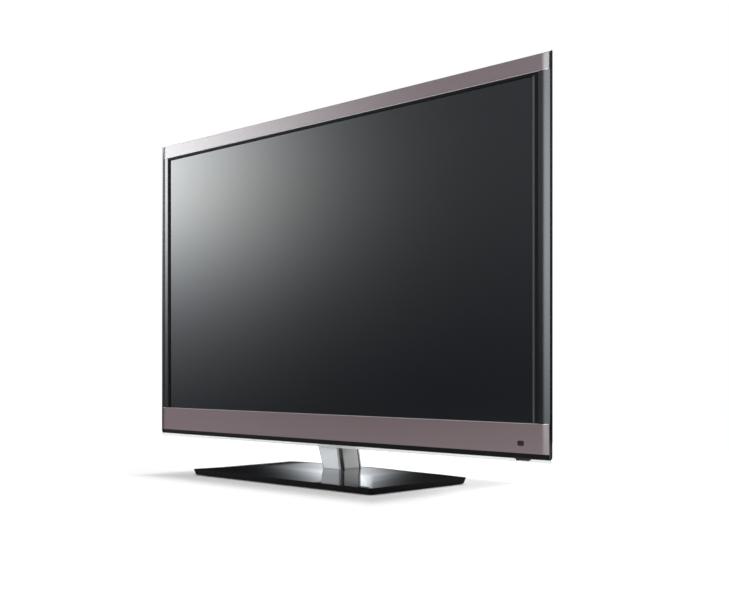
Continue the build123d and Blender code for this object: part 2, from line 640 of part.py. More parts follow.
def lan_socket():
    z0, y0 = LOW_PLATE_Z - SOCKET_PROUD, at(SOCKET_D)
    body = block(LAN_X - LAN_W / 2, LAN_X + LAN_W / 2, y0, y0 + LAN_H, z0, z0 + LAN_L)
    body -= block(LAN_X - 5.9, LAN_X + 5.9, y0 + 3.0, y0 + 10.6, z0, z0 + LAN_L - 2)
    return body - block(LAN_X - 3, LAN_X + 3, y0 + 1.0, y0 + 3.0, z0, z0 + LAN_L - 2)


AERIAL_LENGTH = 10.0


def aerial_socket():
    """Threaded coaxial aerial socket with its hexagonal seat and its case on the board."""
    y, z = at(SOCKET_D + 6.5), LOW_PLATE_Z
    case = block(AERIAL_X - 7, AERIAL_X + 7, at(SOCKET_D), at(COVER_IN) - SEAT, z + JACK_PLATE_T, z + 22)
    seat = Plane.XY.offset(z - 2) * Pos(AERIAL_X, y) * RegularPolygon(6.4, 6)
    stem = rod_z(AERIAL_X, y, z - AERIAL_LENGTH, z + JACK_PLATE_T, AERIAL_R)
    return case + extrude(seat, amount=2) + stem - rod_z(AERIAL_X, y, z - AERIAL_LENGTH, z - 2, 1)


def av_jacks():
    """A row of round video and sound jacks on one block."""
    y, z = at(SOCKET_D + 6.5), LOW_PLATE_Z
    x1 = AV_X + (AV_COUNT - 1) * AV_PITCH
    jacks = block(AV_X - 6, x1 + 6, at(SOCKET_D), at(COVER_IN) - SEAT, z + JACK_PLATE_T, z + 14)
    for x in spread(AV_X, x1, AV_COUNT):
        jacks += rod_z(x, y, z - 8, z + JACK_PLATE_T, AV_R)
        jacks -= rod_z(x, y, z - 8, z + 4, 1.6)
    return jacks


def low_plate():
    plate = block(LOW_POCKET_X, LOW_POCKET_X + LOW_POCKET_W, at(POCKET_FLOOR), at(COVER_IN), LOW_PLATE_Z,
                  LOW_PLATE_Z + JACK_PLATE_T)
    plate -= block(LAN_X - LAN_W / 2 - 0.1, LAN_X + LAN_W / 2 + 0.1, at(SOCKET_D) - 0.1,
                   at(SOCKET_D) + LAN_H + 0.1, LOW_PLATE_Z, LOW_PLATE_Z + JACK_PLATE_T)
    y = at(SOCKET_D + 6.5)
    plate -= rod_z(AERIAL_X, y, LOW_PLATE_Z, LOW_PLATE_Z + JACK_PLATE_T, AERIAL_R + 0.1)
    for x in spread(AV_X, AV_X + (AV_COUNT - 1) * AV_PITCH, AV_COUNT):
        plate -= rod_z(x, y, LOW_PLATE_Z, LOW_PLATE_Z + JACK_PLATE_T, AV_R + 0.1)
    return plate


PIN_SPACING, PIN_R, INLET_R = 8.6, 1.2, 4.4


def power_inlet():
    """Two-pin figure-of-eight mains inlet that looks down out of its pocket."""
    z0, y = LOW_PLATE_Z, at(SOCKET_D + 6.2)
    body = block(POWER_POCKET_X, POWER_POCKET_X + POWER_POCKET_W, at(POCKET_FLOOR), at(COVER_IN), z0, z0 + 2)
    body += block(INLET_X - INLET_W / 2, INLET_X + INLET_W / 2, at(SOCKET_D), at(COVER_IN) - SEAT, z0 + 2,
                  z0 + INLET_L)
    mouth = Pos(INLET_X, y) * SlotCenterToCenter(PIN_SPACING, 2 * INLET_R)
    body -= extrude(Plane.XY.offset(z0) * mouth, amount=INLET_L - 2)
    for side in (-1, 1):
        body += rod_z(INLET_X + side * PIN_SPACING / 2, y, z0 + 3, z0 + INLET_L, PIN_R)
    return body


# Keys on the back: four push keys and two rockers in one plate
KEY_TOP = SET_D + KEY_PROUD
KEY_PLATE_T = 2.4
KEY_PLATE_IN = SET_D - KEY_PLATE_T
FLANGE_T, FLANGE_W = 1.0, 1.2
SWITCH_H = 4.3
KEY_BOARD_D = 18.0
SWITCH_TOP = KEY_BOARD_D + BOARD_T + SWITCH_H
STEM_END = SWITCH_TOP + KEY_TRAVEL + 0.1
EAR_T, EAR_GAP = 2.2, 0.4
PIVOT_D = 25.4
ROCKER_SWITCH = 8.0
PUSH_KEYS = ["power_key", "input_key", "menu_key", "select_key"]
ROCKERS = ["channel_rocker", "volume_rocker"]


def key_z(index):
    return KEY_Z + index * KEY_PITCH


def rocker_z(index):
    return ROCKER_Z + index * ROCKER_PITCH


def push_key(z):
    """Cap, flange that stops it behind the plate, and stem over its switch."""
    key = slab(KEY_X - KEY_W / 2, KEY_X + KEY_W / 2, z - KEY_H / 2, z + KEY_H / 2, KEY_PLATE_IN - 1,
               KEY_TOP, 1.5)
    wide = FLANGE_W + KEY_GAP
    key += slab(KEY_X - KEY_W / 2 - wide, KEY_X + KEY_W / 2 + wide, z - KEY_H / 2 - wide,
                z + KEY_H / 2 + wide, KEY_PLATE_IN - FLANGE_T - 0.1, KEY_PLATE_IN - 0.1, 1.5)
    return key + rod_y(KEY_X, z, STEM_END, KEY_PLATE_IN - FLANGE_T, 1.5)


def rocker(z):
    """Cap that tips about a cross pin, with a stem over each of its two switches."""
    half = ROCKER_H / 2
    key = slab(KEY_X - KEY_W / 2, KEY_X + KEY_W / 2, z - half, z + half, KEY_PLATE_IN - 1, KEY_TOP, 1.5)
    key += slab(KEY_X - 4, KEY_X + 4, z - 1.8, z + 1.8, PIVOT_D - PIVOT_R, KEY_PLATE_IN)
    key += rod_x(KEY_X - KEY_W / 2 - EAR_GAP - EAR_T, KEY_X + KEY_W / 2 + EAR_GAP + EAR_T, PIVOT_D, z, PIVOT_R)
    for side in (-1, 1):
        key += rod_y(KEY_X, z + side * ROCKER_SWITCH, STEM_END, KEY_PLATE_IN, 1.3)
    return key


def key_plate():
    plate = slab(KEY_PLATE_X0, KEY_PLATE_X1, KEY_PLATE_Z0, KEY_PLATE_Z1, KEY_PLATE_IN, SET_D, 2)
    for z in (KEY_PLATE_Z0 + 5, KEY_PLATE_Z1 - 5):
        plate += rod_y(KEY_X, z, KEY_BOARD_D + BOARD_T, KEY_PLATE_IN, 2.5)
    for i in range(len(PUSH_KEYS)):
        plate -= key_hole(key_z(i), KEY_H)
    for i in range(len(ROCKERS)):
        z = rocker_z(i)
        plate -= key_hole(z, ROCKER_H)
        for side in (-1, 1):
            x = KEY_X + side * (KEY_W / 2 + EAR_GAP + EAR_T / 2)
            ear = slab(x - EAR_T / 2, x + EAR_T / 2, z - 3, z + 3, PIVOT_D - 2.5, KEY_PLATE_IN)
            plate += ear - rod_x(x - EAR_T, x + EAR_T, PIVOT_D, z, PIVOT_R + PIVOT_FIT)
    return plate


def key_hole(z, height):
    half_w, half_h = KEY_W / 2 + KEY_GAP, height / 2 + KEY_GAP
    return slab(KEY_X - half_w, KEY_X + half_w, z - half_h, z + half_h, KEY_PLATE_IN, SET_D, 1.5 + KEY_GAP)


def key_board():
    board_shape = slab(KEY_PLATE_X0 + 4, KEY_PLATE_X1 - 4, KEY_PLATE_Z0, KEY_PLATE_Z1, KEY_BOARD_D,
                       KEY_BOARD_D + BOARD_T)
    places = [key_z(i) for i in range(len(PUSH_KEYS))]
    for i in range(len(ROCKERS)):
        places += [rocker_z(i) - ROCKER_SWITCH, rocker_z(i) + ROCKER_SWITCH]
    for z in places:
        board_shape += slab(KEY_X - 3, KEY_X + 3, z - 3, z + 3, KEY_BOARD_D + BOARD_T, SWITCH_TOP)
    return board_shape


# Base: glossy domed cover over a steel plate, with the swivel bearing between them
def base_outline(z, inset, shrink=1.0):
    """The base's outline, or a smaller one of like form around the swivel axis."""
    centre_y = AXIS_Y * (1 - shrink)
    front = centre_y + (-BASE_D / 2 + inset) * shrink
    side_y = centre_y + (BASE_D / 2 - BASE_BOW - inset) * shrink
    back_y = centre_y + (BASE_D / 2 - inset) * shrink
    half_f = (BASE_W / 2 - inset) * shrink + AXIS_RADIUS * (1 - shrink)
    half_b = half_f + BASE_FLARE * shrink
    edges = Curve() + [Polyline((-half_b, side_y), (-half_f, front), (half_f, front), (half_b, side_y)),
                       ThreePointArc((half_b, side_y), (0, back_y), (-half_b, side_y))]
    radius = BASE_CORNER + (AXIS_RADIUS / 2 - BASE_CORNER) * (1 - shrink)
    face = make_face(edges)
    return Plane.XY.offset(z) * fillet(face.vertices(), radius)


AXIS_RADIUS = TURNTABLE_R + 14.0
DOME_STEPS = ((1.0, 0.0), (0.8, 0.42), (0.55, 0.8), (0.35, 1.0))


def base_body(inset, drop, floor_z):
    """The base's solid form: undercut rim and a low dome up to the turntable."""
    rim_z = BASE_RIM_Z - drop
    body = loft([base_outline(floor_z, inset + BASE_UNDERCUT), base_outline(rim_z, inset)], ruled=True)
    rise = BASE_TOP_Z - BASE_RIM_Z
    dome = [base_outline(rim_z + rise * lift, inset, shrink) for shrink, lift in DOME_STEPS]
    return body + loft(dome, ruled=True)


BOSS_PLACES = [(x, BASE_FRONT + 32) for x in (38 - BASE_X, 0.0, BASE_X - 38)]
for side in (-1, 1):
    BOSS_PLACES += [(side * (BASE_X - 38), BASE_REAR - BASE_BOW - 28),
                    (side * (BASE_X - 143), BASE_REAR - BASE_BOW - 5)]
BASE_BOSS_R = 5.0


def base_cover():
    outer = base_body(0, 0, BASE_CLEAR)
    cover = outer - base_body(BASE_WALL, BASE_WALL, BASE_CLEAR)
    for x, y in BOSS_PLACES:
        boss = rod_z(x, y, BEARING_Z, BASE_TOP_Z, BASE_BOSS_R) & outer
        cover += boss - rod_z(x, y, BEARING_Z, BEARING_Z + 7, SCREW_R + 0.1)
    return cover - rod_z(0, AXIS_Y, BEARING_Z, BASE_TOP_Z + 1, TURNTABLE_R + 2 * RUNNING)


def base_plate():
    outline = base_outline(PLATE_Z, BASE_WALL + BASE_UNDERCUT + SEAT)
    plate = extrude(outline, amount=PLATE_T)
    for x, y in BOSS_PLACES:
        plate -= rod_z(x, y, PLATE_Z, BEARING_Z, SCREW_R + 0.2)
    return plate


FOOT_PLACES = [(0.0, BASE_FRONT + 19), (0.0, BASE_REAR - 19)]
for side in (-1, 1):
    FOOT_PLACES += [(side * (BASE_X - 28), BASE_FRONT + 22), (side * (BASE_X - 28), BASE_REAR - BASE_BOW - 15)]


def rubber_feet():
    feet = []
    for x, y in FOOT_PLACES:
        foot = rod_z(x, y, 0, PLATE_Z, FOOT_R)
        feet.append(chamfer(foot.edges().group_by(Axis.Z)[0], 0.6))
    return Compound(children=feet)


def base_screws():
    screws = []
    for x, y in BOSS_PLACES:
        screws.append(rod_z(x, y, PLATE_Z - SCREW_HEAD_T, PLATE_Z, SCREW_HEAD_R)
                      + rod_z(x, y, PLATE_Z, BEARING_Z + 6, SCREW_R))
    return Compound(children=screws)


LUG_W, LUG_REACH = 10.0, 6.0
STOP_W = 5.0
HOUSING_R = SWIVEL_R + LUG_REACH + 2.0
RETAINER_IN, RETAINER_T = SWIVEL_R - 4.0, 2.0


def ring(outer, inner, z0, z1):
    return rod_z(0, AXIS_Y, z0, z1, outer) - rod_z(0, AXIS_Y, z0, z1, inner)


def swivel_plate():
    """Steel disc under the neck; its lug runs between the two stops."""
    plate = rod_z(0, AXIS_Y, SWIVEL_Z, SWIVEL_TOP, SWIVEL_R)
    plate += block(-LUG_W / 2, LUG_W / 2, AXIS_Y, AXIS_Y + SWIVEL_R + LUG_REACH, SWIVEL_Z, SWIVEL_TOP)
    return plate


def swivel_retainer():
    """Fixed ring that holds the swivel plate down and carries its two stops."""
    lip_z = SWIVEL_TOP + RUNNING
    body = ring(HOUSING_R + 3, HOUSING_R, BEARING_Z, lip_z + RETAINER_T)
    body += ring(HOUSING_R + 1, RETAINER_IN, lip_z, lip_z + RETAINER_T)
    middle = SWIVEL_R + LUG_REACH / 2
    lug_angle = math.degrees(math.asin((LUG_W / 2 + STOP_W / 2 + RUNNING) / middle))
    for side in (-1, 1):
        stop = block(-STOP_W / 2, STOP_W / 2, SWIVEL_R + 2 * RUNNING, HOUSING_R + 1, BEARING_Z, lip_z + 1)
        body += Pos(0, AXIS_Y, 0) * Rot(0, 0, side * (SWIVEL_LIMIT + lug_angle)) * stop
    return body


def turntable_cover():
    """Glossy disc that turns with the neck, flush with the base's top."""
    disc = rod_z(0, AXIS_Y, BASE_TOP_Z - TURNTABLE_T, BASE_TOP_Z, TURNTABLE_R)
    disc += ring(TURNTABLE_R - 3, TURNTABLE_R - 6, SWIVEL_TOP, BASE_TOP_Z)
    return disc - neck_block(POST_D0 - 0.1, POST_D1 + 0.1, POST_INSET - 0.1, SWIVEL_TOP, BASE_TOP_Z + 1)


save(front_frame(), "front_frame")
save(bar(UPPER_BAR_Z, UPPER_BAR_H), "upper_bar")
save(lower_bar(), "lower_bar")
save(side_trim(-1), "left_trim")
save(side_trim(1), "right_trim")
save(clear_strip(), "clear_strip")
save(receiver_lens(), "receiver_lens")
save(indicator_window(), "indicator_window")
save(sensor_board(), "sensor_board")
save(picture_cell(), "picture_cell")
save(layer(SHEET_D, GUIDE_D, GUIDE_EDGE), "optical_sheets")
save(layer(GUIDE_D, REFLECTOR_D, GUIDE_EDGE), "light_guide")
save(layer(REFLECTOR_D, CHASSIS_D, GUIDE_EDGE), "reflector_sheet")
save(led_bar(LED_LOW_Z), "lower_led_bar")
save(led_bar(LED_TOP_Z), "upper_led_bar")
save(panel_guide(), "panel_guide")
save(rear_chassis(), "rear_chassis")
save(vesa_standoffs(), "vesa_standoffs")
save(main_board(), "main_board")
save(power_board(), "power_board")
save(timing_board(), "timing_board")
save(speaker(-1), "left_speaker")
save(speaker(1), "right_speaker")
save(back_cover(), "back_cover")
save(cover_screws(), "cover_screws")
for vent in VENTS:
    save(vent_panel(vent), vent)
save(side_sockets(HDMI_Z, HDMI_W, HDMI_H, HDMI_L, 0.9), "hdmi_sockets")
save(side_sockets(USB_Z, USB_W, USB_H, USB_L, 1.8), "usb_sockets")
save(side_plate(), "side_socket_plate")
save(lan_socket(), "lan_socket")
save(aerial_socket(), "aerial_socket")
save(av_jacks(), "av_jacks")
save(low_plate(), "lower_socket_plate")
save(power_inlet(), "power_inlet")
for i, name in enumerate(PUSH_KEYS):
    save(push_key(key_z(i)), name)
for i, name in enumerate(ROCKERS):
    save(rocker(rocker_z(i)), name)
save(key_plate(), "key_plate")
save(key_board(), "key_board")
save(neck_face(), "neck_front_face")
save(neck_block(NECK_FACE_T, SHELL_D, GROOVE_SINK), "neck_spacer")
save(neck_shell(), "neck_rear_shell")
save(neck_block(EDGE_D, NECK_DEPTH, WALL / 2), "neck_rear_edge")
save(neck_post(), "neck_post")
save(stand_bracket(), "stand_bracket")
save(stand_screws(), "stand_screws")
save(base_cover(), "base_cover")
save(base_plate(), "base_plate")
save(rubber_feet(), "rubber_feet")
save(base_screws(), "base_screws")
save(ring(SWIVEL_R - 2, SWIVEL_R - 14, BEARING_Z, SWIVEL_Z), "bearing_ring")
save(swivel_plate(), "swivel_plate")
save(swivel_retainer(), "swivel_retainer")
save(turntable_cover(), "turntable_cover")
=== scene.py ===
"""Looks of a flat LED television on a swivelling stand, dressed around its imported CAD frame."""

import json
import math

import bmesh
import bpy
from bpy.props import FloatProperty, FloatVectorProperty, IntProperty, PointerProperty
from bpy.types import Operator, Panel, PropertyGroup
from mathutils import Matrix, Vector


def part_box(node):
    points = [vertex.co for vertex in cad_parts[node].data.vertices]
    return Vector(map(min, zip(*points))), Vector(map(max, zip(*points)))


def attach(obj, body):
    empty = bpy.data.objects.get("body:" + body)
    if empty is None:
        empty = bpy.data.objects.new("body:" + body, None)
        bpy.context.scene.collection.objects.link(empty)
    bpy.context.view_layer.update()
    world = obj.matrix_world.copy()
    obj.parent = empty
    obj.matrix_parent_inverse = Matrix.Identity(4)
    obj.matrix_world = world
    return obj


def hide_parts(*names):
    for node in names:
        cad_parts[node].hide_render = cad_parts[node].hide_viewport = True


bl_info = {
    "name": "LED television",
    "version": (1, 0, 0),
    "blender": (4, 5, 0),
    "location": "View3D > Sidebar > Television",
    "description": "Dresses the packed parts of a flat television on a swivelling stand",
    "category": "Object",
}

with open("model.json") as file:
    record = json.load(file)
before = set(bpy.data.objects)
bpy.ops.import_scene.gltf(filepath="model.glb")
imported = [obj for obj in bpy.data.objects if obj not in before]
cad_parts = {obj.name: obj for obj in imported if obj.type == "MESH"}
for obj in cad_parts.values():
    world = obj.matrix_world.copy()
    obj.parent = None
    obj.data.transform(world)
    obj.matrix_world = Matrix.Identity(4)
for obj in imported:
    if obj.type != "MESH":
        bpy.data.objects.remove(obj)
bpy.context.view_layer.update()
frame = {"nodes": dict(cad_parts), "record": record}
SLOT_OF = {part["node"]: part["material_slot"] for part in frame["record"]["subparts"]}
BODY_OF = {node: body for body, nodes in frame["record"]["behaviour"]["bodies"].items() for node in nodes}

MM = 0.001
UP = (0, 0, 1)
SLANTED = 0.3  # a normal with more than this along two axes is a bevel's
NEAR = 0.05 * MM  # points this close to a plane count as on it
HAIR = 0.001 * MM  # points this close together count as one
SHARP_ANGLE = 40.0  # degrees from which an edge is drawn sharp
WAVE_LENGTH = math.tau / 20  # length of one band of a Wave texture at a scale of 1

# The picture's opening in the front frame, and the width of the frame's lip beyond it
PICTURE_HALF = 522.5 * MM
PICTURE_LOW, PICTURE_TOP = 133.2 * MM, 721.2 * MM
LIP_WIDTH = 8.1 * MM

# Drop and length of a rolled end, and a trim's reach inwards
ROLL_DROP = 2.15 * MM
ROLL_LENGTH = 13.0 * MM
ROLLED_FROM = 550.0 * MM  # a bar or trim that reaches past here has a rolled end
TRIM_INWARD = 5.5 * MM

# Depth of the neck's front face and of its rear edge, each at the foot and at the top
NECK_FRONT = (18.0 * MM, -0.72 * MM)
NECK_REAR = (75.0 * MM, 60.38 * MM)


# Sizes and colours that a user would change

def length(name, description, default):
    """A length in metres."""
    return FloatProperty(name=name, description=description, default=default, min=0.0, unit="LENGTH",
                         precision=5)


def tint(name, description, default):
    """A linear colour."""
    return FloatVectorProperty(name=name, description=description, default=default, size=3, subtype="COLOR",
                               min=0.0, max=1.0)


class TelevisionSizes(PropertyGroup):
    """Edge radii, reaches and surface scales."""
    moulding_edge: length("Moulding edge", "Radius on the front frame's edges", 0.0005)
    bar_edge: length("Bar edge", "Radius on the long edges of the metal bars", 0.00025)
    cover_edge: length("Cover edge", "Radius on the back cover's edges", 0.0005)
    roll_over: length("Roll over", "Reach of the bars' rolled ends over the frame's lip", 0.0025)
    trim_over: length("Trim over", "Reach of the rolled side trims over the frame's lip", 0.004)
    shadow_gap: length("Shadow gap", "Height of frame in sight above the upper bar", 0.001)
    top_drop: length("Top drop", "Drop of the frame's top below its solid's", 0.0018)
    strip_reach: length("Strip reach", "Reach of the black strip down over the clear one", 0.0016)
    lip_shift: length("Lip shift", "Shift of the frame's left lip outwards", 0.005)
    # The margin is a painted highlight line along the picture's right edge.
    margin: length("Margin", "Width of the glass margin at the picture's right", 0.003)
    bright_cut: length("Bright cut", "Width of the bright cut along a bar's inner edge", 0.001)
    neck_edge: length("Neck edge", "Radius on the neck's upright edges", 0.0006)
    neck_reach: length("Neck reach", "Reach of the neck's shell over its black core", 0.0035)
    neck_line: length("Neck line", "Width of the dark line before the neck's rear edge", 0.0034)
    # The neck's dark borders are a painted reflection: the front's side edges mirroring dark.
    neck_painted_reflection: length("Neck border", "Width of the dark borders of the neck's front", 0.0012)
    neck_foot: length("Neck foot", "Reach of the neck's foot before its solid", 0.0085)
    neck_top: length("Neck top", "Reach of the neck's top before its solid", 0.004)
    neck_rear: length("Neck rear", "Reach of the neck's rear edge before its solid", 0.0016)
    neck_share: FloatProperty(name="Neck share", description="Width of the neck as a share of its solid's",
                              default=0.91, min=0.7, max=1.0, subtype="FACTOR")
    base_edge: length("Base edge", "Radius on the base's rim", 0.0014)
    small_edge: length("Small edge", "Radius on sockets, keys and fittings", 0.0002)
    brush_width: length("Brush width", "Width of the fine lines in the bars' finish", 0.0004)
    grain_size: length("Grain size", "Size of the moulded grain on the back cover", 0.0007)
    roll_steps: IntProperty(name="Roll steps", description="Facets in the rolled end of each bar", default=16,
                            min=4, max=48)


class TelevisionColours(PropertyGroup):
    """Main colours, as linear values."""
    rose: tint("Rose", "Rose-grey lacquer of the bars", (0.108, 0.0715, 0.079))
    trim: tint("Trim", "Polished side trims", (0.0045, 0.0045, 0.005))
    gloss: tint("Gloss", "Black gloss mouldings", (0.0045, 0.0045, 0.0052))
    glass: tint("Glass", "Panel glass with the picture off", (0.0035, 0.0042, 0.0058))
    cover: tint("Cover", "Grained back cover", (0.022, 0.022, 0.024))
    neck: tint("Neck", "Bright front of the neck", (0.9, 0.93, 0.96))
    shell: tint("Shell", "Grey rear shell of the neck", (0.86, 0.855, 0.85))
    floor: tint("Floor", "Pale floor", (0.8, 0.8, 0.8))


def sizes():
    """The sizes set in the sidebar."""
    return bpy.context.scene.television_sizes


def colours():
    """The colours set in the sidebar."""
    return bpy.context.scene.television_colours


# Shader building

class Value:
    """A shader socket that Python's own operators work on."""

    def __init__(self, graph, socket):
        self.graph, self.socket = graph, socket

    def maths(self, operation, *others):
        """A Math node with this value in its first socket."""
        return self.graph.maths(operation, self, *others)

    def __add__(self, other):
        return self.maths("ADD", other)

    def __sub__(self, other):
        return self.maths("SUBTRACT", other)

    def __rsub__(self, other):
        return self.graph.maths("SUBTRACT", other, self)

    def __mul__(self, other):
        return self.maths("MULTIPLY", other)

    __radd__, __rmul__ = __add__, __mul__


class Graph:
    """The nodes of one material or of the world."""

    def __init__(self, tree):
        self.tree = tree
        tree.nodes.clear()

    def node(self, kind, settings=None, sockets=None, output=0):
        """A shader node of a kind with its settings and sockets; gives an output if it has any."""
        made = self.tree.nodes.new("ShaderNode" + kind)
        for name, value in (settings or {}).items():
            setattr(made, name, value)
        for name, value in (sockets or {}).items():
            if isinstance(value, Value):
                self.tree.links.new(value.socket, made.inputs[name])
            else:
                made.inputs[name].default_value = value
        return Value(self, made.outputs[output]) if made.outputs else None

    def maths(self, operation, *values):
        """A Math node on values or numbers."""
        return self.node("Math", {"operation": operation}, dict(enumerate(values)))

    def place(self, stretch=(1.0, 1.0, 1.0)):
        """Object coordinates, stretched along the axes."""
        spot = self.node("TexCoord", output="Object")
        return self.node("Mapping", sockets={"Vector": spot, "Scale": stretch})

    def part(self, vector, axis):
        """One axis of a vector."""
        return self.node("SeparateXYZ", sockets={"Vector": vector}, output=axis)

    def noise(self, size, detail=2.0, stretch=(1.0, 1.0, 1.0), rough=0.5):
        """Soft noise whose features are about this size."""
        return self.node("TexNoise", sockets={"Vector": self.place(stretch), "Scale": 1 / size,
                                              "Detail": detail, "Roughness": rough})

    def cells(self, size, output="Distance"):
        """Cells of about this size, as the distance from their middles or as a colour for each."""
        return self.node("TexVoronoi", sockets={"Vector": self.place(), "Scale": 1 / size}, output=output)

    def shades(self, size):
        """A grey level for each cell of about this size."""
        return self.node("SeparateColor", sockets={"Color": self.cells(size, "Color")})

    def spread(self, value, nought, one):
        """A smooth step from 0 at one value to 1 at the other."""
        return self.node("MapRange", {"interpolation_type": "SMOOTHSTEP"},
                         {"Value": value, "From Min": nought, "From Max": one})

    def colour(self, colour):
        """A colour or a colour's value, as a colour socket takes it."""
        return colour if isinstance(colour, Value) else (*colour[:3], 1.0)

    def blend(self, share, low, high):
        """A colour between two; the Mix node's sockets for colours are numbers 6 and 7."""
        return self.node("Mix", {"data_type": "RGBA"},
                         {0: share, 6: self.colour(low), 7: self.colour(high)}, 2)

    def bump(self, height, depth):
        """Relief of a height, as a normal."""
        return self.node("Bump", sockets={"Height": height, "Distance": depth})

    def gloss(self, colour, roughness, **more):
        """A Principled shader; its other sockets are named with underscores."""
        sockets = {"Base Color": self.colour(colour), "Roughness": roughness}
        sockets.update({name.replace("_", " "): value for name, value in more.items()})
        return self.node("BsdfPrincipled", sockets=sockets)

    def coat(self, pattern, low, high, rough, change, **more):
        """A Principled shader whose colour and roughness follow one pattern."""
        return self.gloss(self.blend(pattern, low, high), rough + change * pattern, **more)

    def light(self, kind, colour, strength):
        """An Emission or Background shader."""
        return self.node(kind, sockets={"Color": self.colour(colour), "Strength": strength})

    def rays(self, first, *others):
        """1 for rays of any of these kinds."""
        most = self.node("LightPath", output=first)
        for kind in others:
            most = most.maths("MAXIMUM", self.node("LightPath", output=kind))
        return most

    def mixed(self, share, first, second):
        """Two shaders mixed by the second one's share."""
        return self.node("MixShader", sockets={0: share, 1: first, 2: second})

    def out(self, shader, kind="OutputMaterial"):
        """Ends the graph in its output."""
        self.node(kind, sockets={"Surface": shader})


def tones(colour, *shares):
    """A colour times each of these shares."""
    return [tuple(c * share for c in colour) for share in shares]


# Finishes, one function for each

def gloss_black(g):
    """Mirror-smooth black moulding with a trace of haze."""
    haze = g.noise(0.06, 4.0)
    skin = g.noise(0.012, 1.0)
    return g.coat(haze, *tones(colours().gloss, 1.0, 1.5), 0.035, 0.035, IOR=1.5, Specular_IOR_Level=0.3,
                  Normal=g.bump(skin, 0.000012))


def satin_black(g):
    """Finely textured black moulding, almost without shine."""
    grain = g.noise(0.0005)
    haze = g.noise(0.05, 3.0)
    colour = g.blend(haze, *tones(colours().gloss, 0.8, 1.0))
    return g.gloss(colour, 0.4 + 0.06 * grain, IOR=1.5, Specular_IOR_Level=0.05,
                   Normal=g.bump(grain, 0.000004))


def rose_metal(g):
    """Rose-grey lacquer over metal, brushed along its length."""
    fine = g.noise(sizes().brush_width, 3.0, (0.012, 1.0, 1.0), 0.6)
    broad = g.noise(0.09, 2.0, (0.4, 1.0, 3.0))
    colour = g.blend(0.3 * fine + 0.7 * broad, *tones(colours().rose, 0.9, 1.1))
    return g.gloss(colour, 0.225 + 0.04 * fine, IOR=1.8, Normal=g.bump(fine, 0.000002))


def bright_edge(g):
    """Diamond-cut edge of a bar, left bright."""
    cut = g.noise(0.0003, 2.0, (0.02, 1.0, 1.0))
    return g.coat(cut, (0.42, 0.4, 0.41), (0.52, 0.5, 0.51), 0.3, 0.1, Metallic=0.7)


def silver_trim(g):
    """Polished dark trim."""
    fine = g.noise(sizes().brush_width, 3.0, (1.0, 1.0, 0.012), 0.6)
    return g.coat(fine, *tones(colours().trim, 0.94, 1.06), 0.14, 0.05, IOR=1.5,
                  Normal=g.bump(fine, 0.000002))


def clear_acrylic(g):
    """Clear polished strip."""
    flow = g.noise(0.03, 2.0, (0.2, 1.0, 1.0))
    return g.gloss((0.83, 0.84, 0.85), 0.22 + 0.05 * flow, IOR=1.4, Transmission_Weight=0.6,
                   Normal=g.bump(flow, 0.000004))


def smoked_lens(g):
    """Smoked polished plastic."""
    swirl = g.noise(0.01)
    return g.coat(swirl, (0.018, 0.011, 0.014), (0.028, 0.017, 0.021), 0.06, 0.04, IOR=1.5,
                  Specular_IOR_Level=0.15)


def dark_glass(g):
    """Panel glass with a low-reflection film, and the picture off."""
    film = g.noise(0.25, 3.0)
    sparkle = g.noise(0.0006, 1.0)
    return g.coat(film, *tones(colours().glass, 0.9, 1.1), 0.14, 0.02, IOR=1.45,
                  Normal=g.bump(sparkle, 0.000001))


def margin_glass_painted_highlight(g):
    """Glass margin, a shade lighter than the picture; the paler colour is a painted highlight."""
    film = g.noise(0.1, 2.0, (1.0, 1.0, 0.3))
    return g.coat(film, (0.034, 0.037, 0.042), (0.042, 0.045, 0.05), 0.18, 0.02, IOR=1.45)


def ground_edge_painted_highlight(g):
    """Ground edge of the glass margin, pale as a painted highlight."""
    grind = g.noise(0.0008, 2.0, (1.0, 1.0, 0.2))
    return g.coat(grind, (0.12, 0.125, 0.135), (0.15, 0.155, 0.165), 0.4, 0.1, IOR=1.45)


def white_film(g):
    """Satin white film, with faint rolls along it."""
    roll = g.noise(0.05, 2.0, (0.1, 1.0, 1.0))
    return g.coat(roll, (0.78, 0.78, 0.76), (0.84, 0.84, 0.82), 0.4, 0.1)


def light_guide_acrylic(g):
    """Clear sheet with a fine pattern of printed dots."""
    dots = g.cells(0.002).maths("GREATER_THAN", 0.35)
    return g.coat(dots, (0.9, 0.9, 0.88), (0.75, 0.8, 0.82), 0.08, 0.3, IOR=1.49, Transmission_Weight=0.5)


def guide_plastic(g):
    """Black structural moulding with flow marks."""
    flow = g.noise(0.02, 3.0, (0.3, 1.0, 1.0))
    grain = g.noise(0.0006)
    return g.gloss(g.blend(flow, (0.018, 0.018, 0.018), (0.03, 0.03, 0.03)), 0.5 + 0.15 * grain,
                   Normal=g.bump(grain, 0.00002))


def steel_sheet(g):
    """Galvanised sheet with its spangle and rolling lines."""
    spangle = g.shades(0.012)
    rolling = g.noise(0.0008, 2.0, (0.02, 1.0, 1.0))
    colour = g.blend(spangle, (0.42, 0.43, 0.44), (0.56, 0.57, 0.59))
    return g.gloss(colour, 0.28 + 0.14 * spangle + 0.06 * rolling, Metallic=0.95,
                   Normal=g.bump(rolling, 0.00001))


def board_green(g):
    """Solder mask over copper tracks, with plated pads."""
    tracks = g.node("TexWave", {"bands_direction": "X"},
                    {"Vector": g.place((1.0, 0.0, 1.0)), "Scale": 60.0, "Distortion": 9.0, "Detail": 1.0})
    track = g.spread(tracks, 0.55, 0.62)
    pads = g.spread(g.cells(0.004), 0.16, 0.12)
    colour = g.blend(pads, g.blend(track, (0.008, 0.05, 0.022), (0.015, 0.09, 0.038)), (0.62, 0.6, 0.52))
    return g.gloss(colour, 0.35 - 0.1 * pads, Metallic=pads, Normal=g.bump(track + pads, 0.00003))


def lamp_strip(g):
    """White-coated strip that carries the lamps."""
    coat = g.noise(0.003)
    return g.coat(coat, (0.7, 0.7, 0.68), (0.78, 0.78, 0.76), 0.35, 0.1)


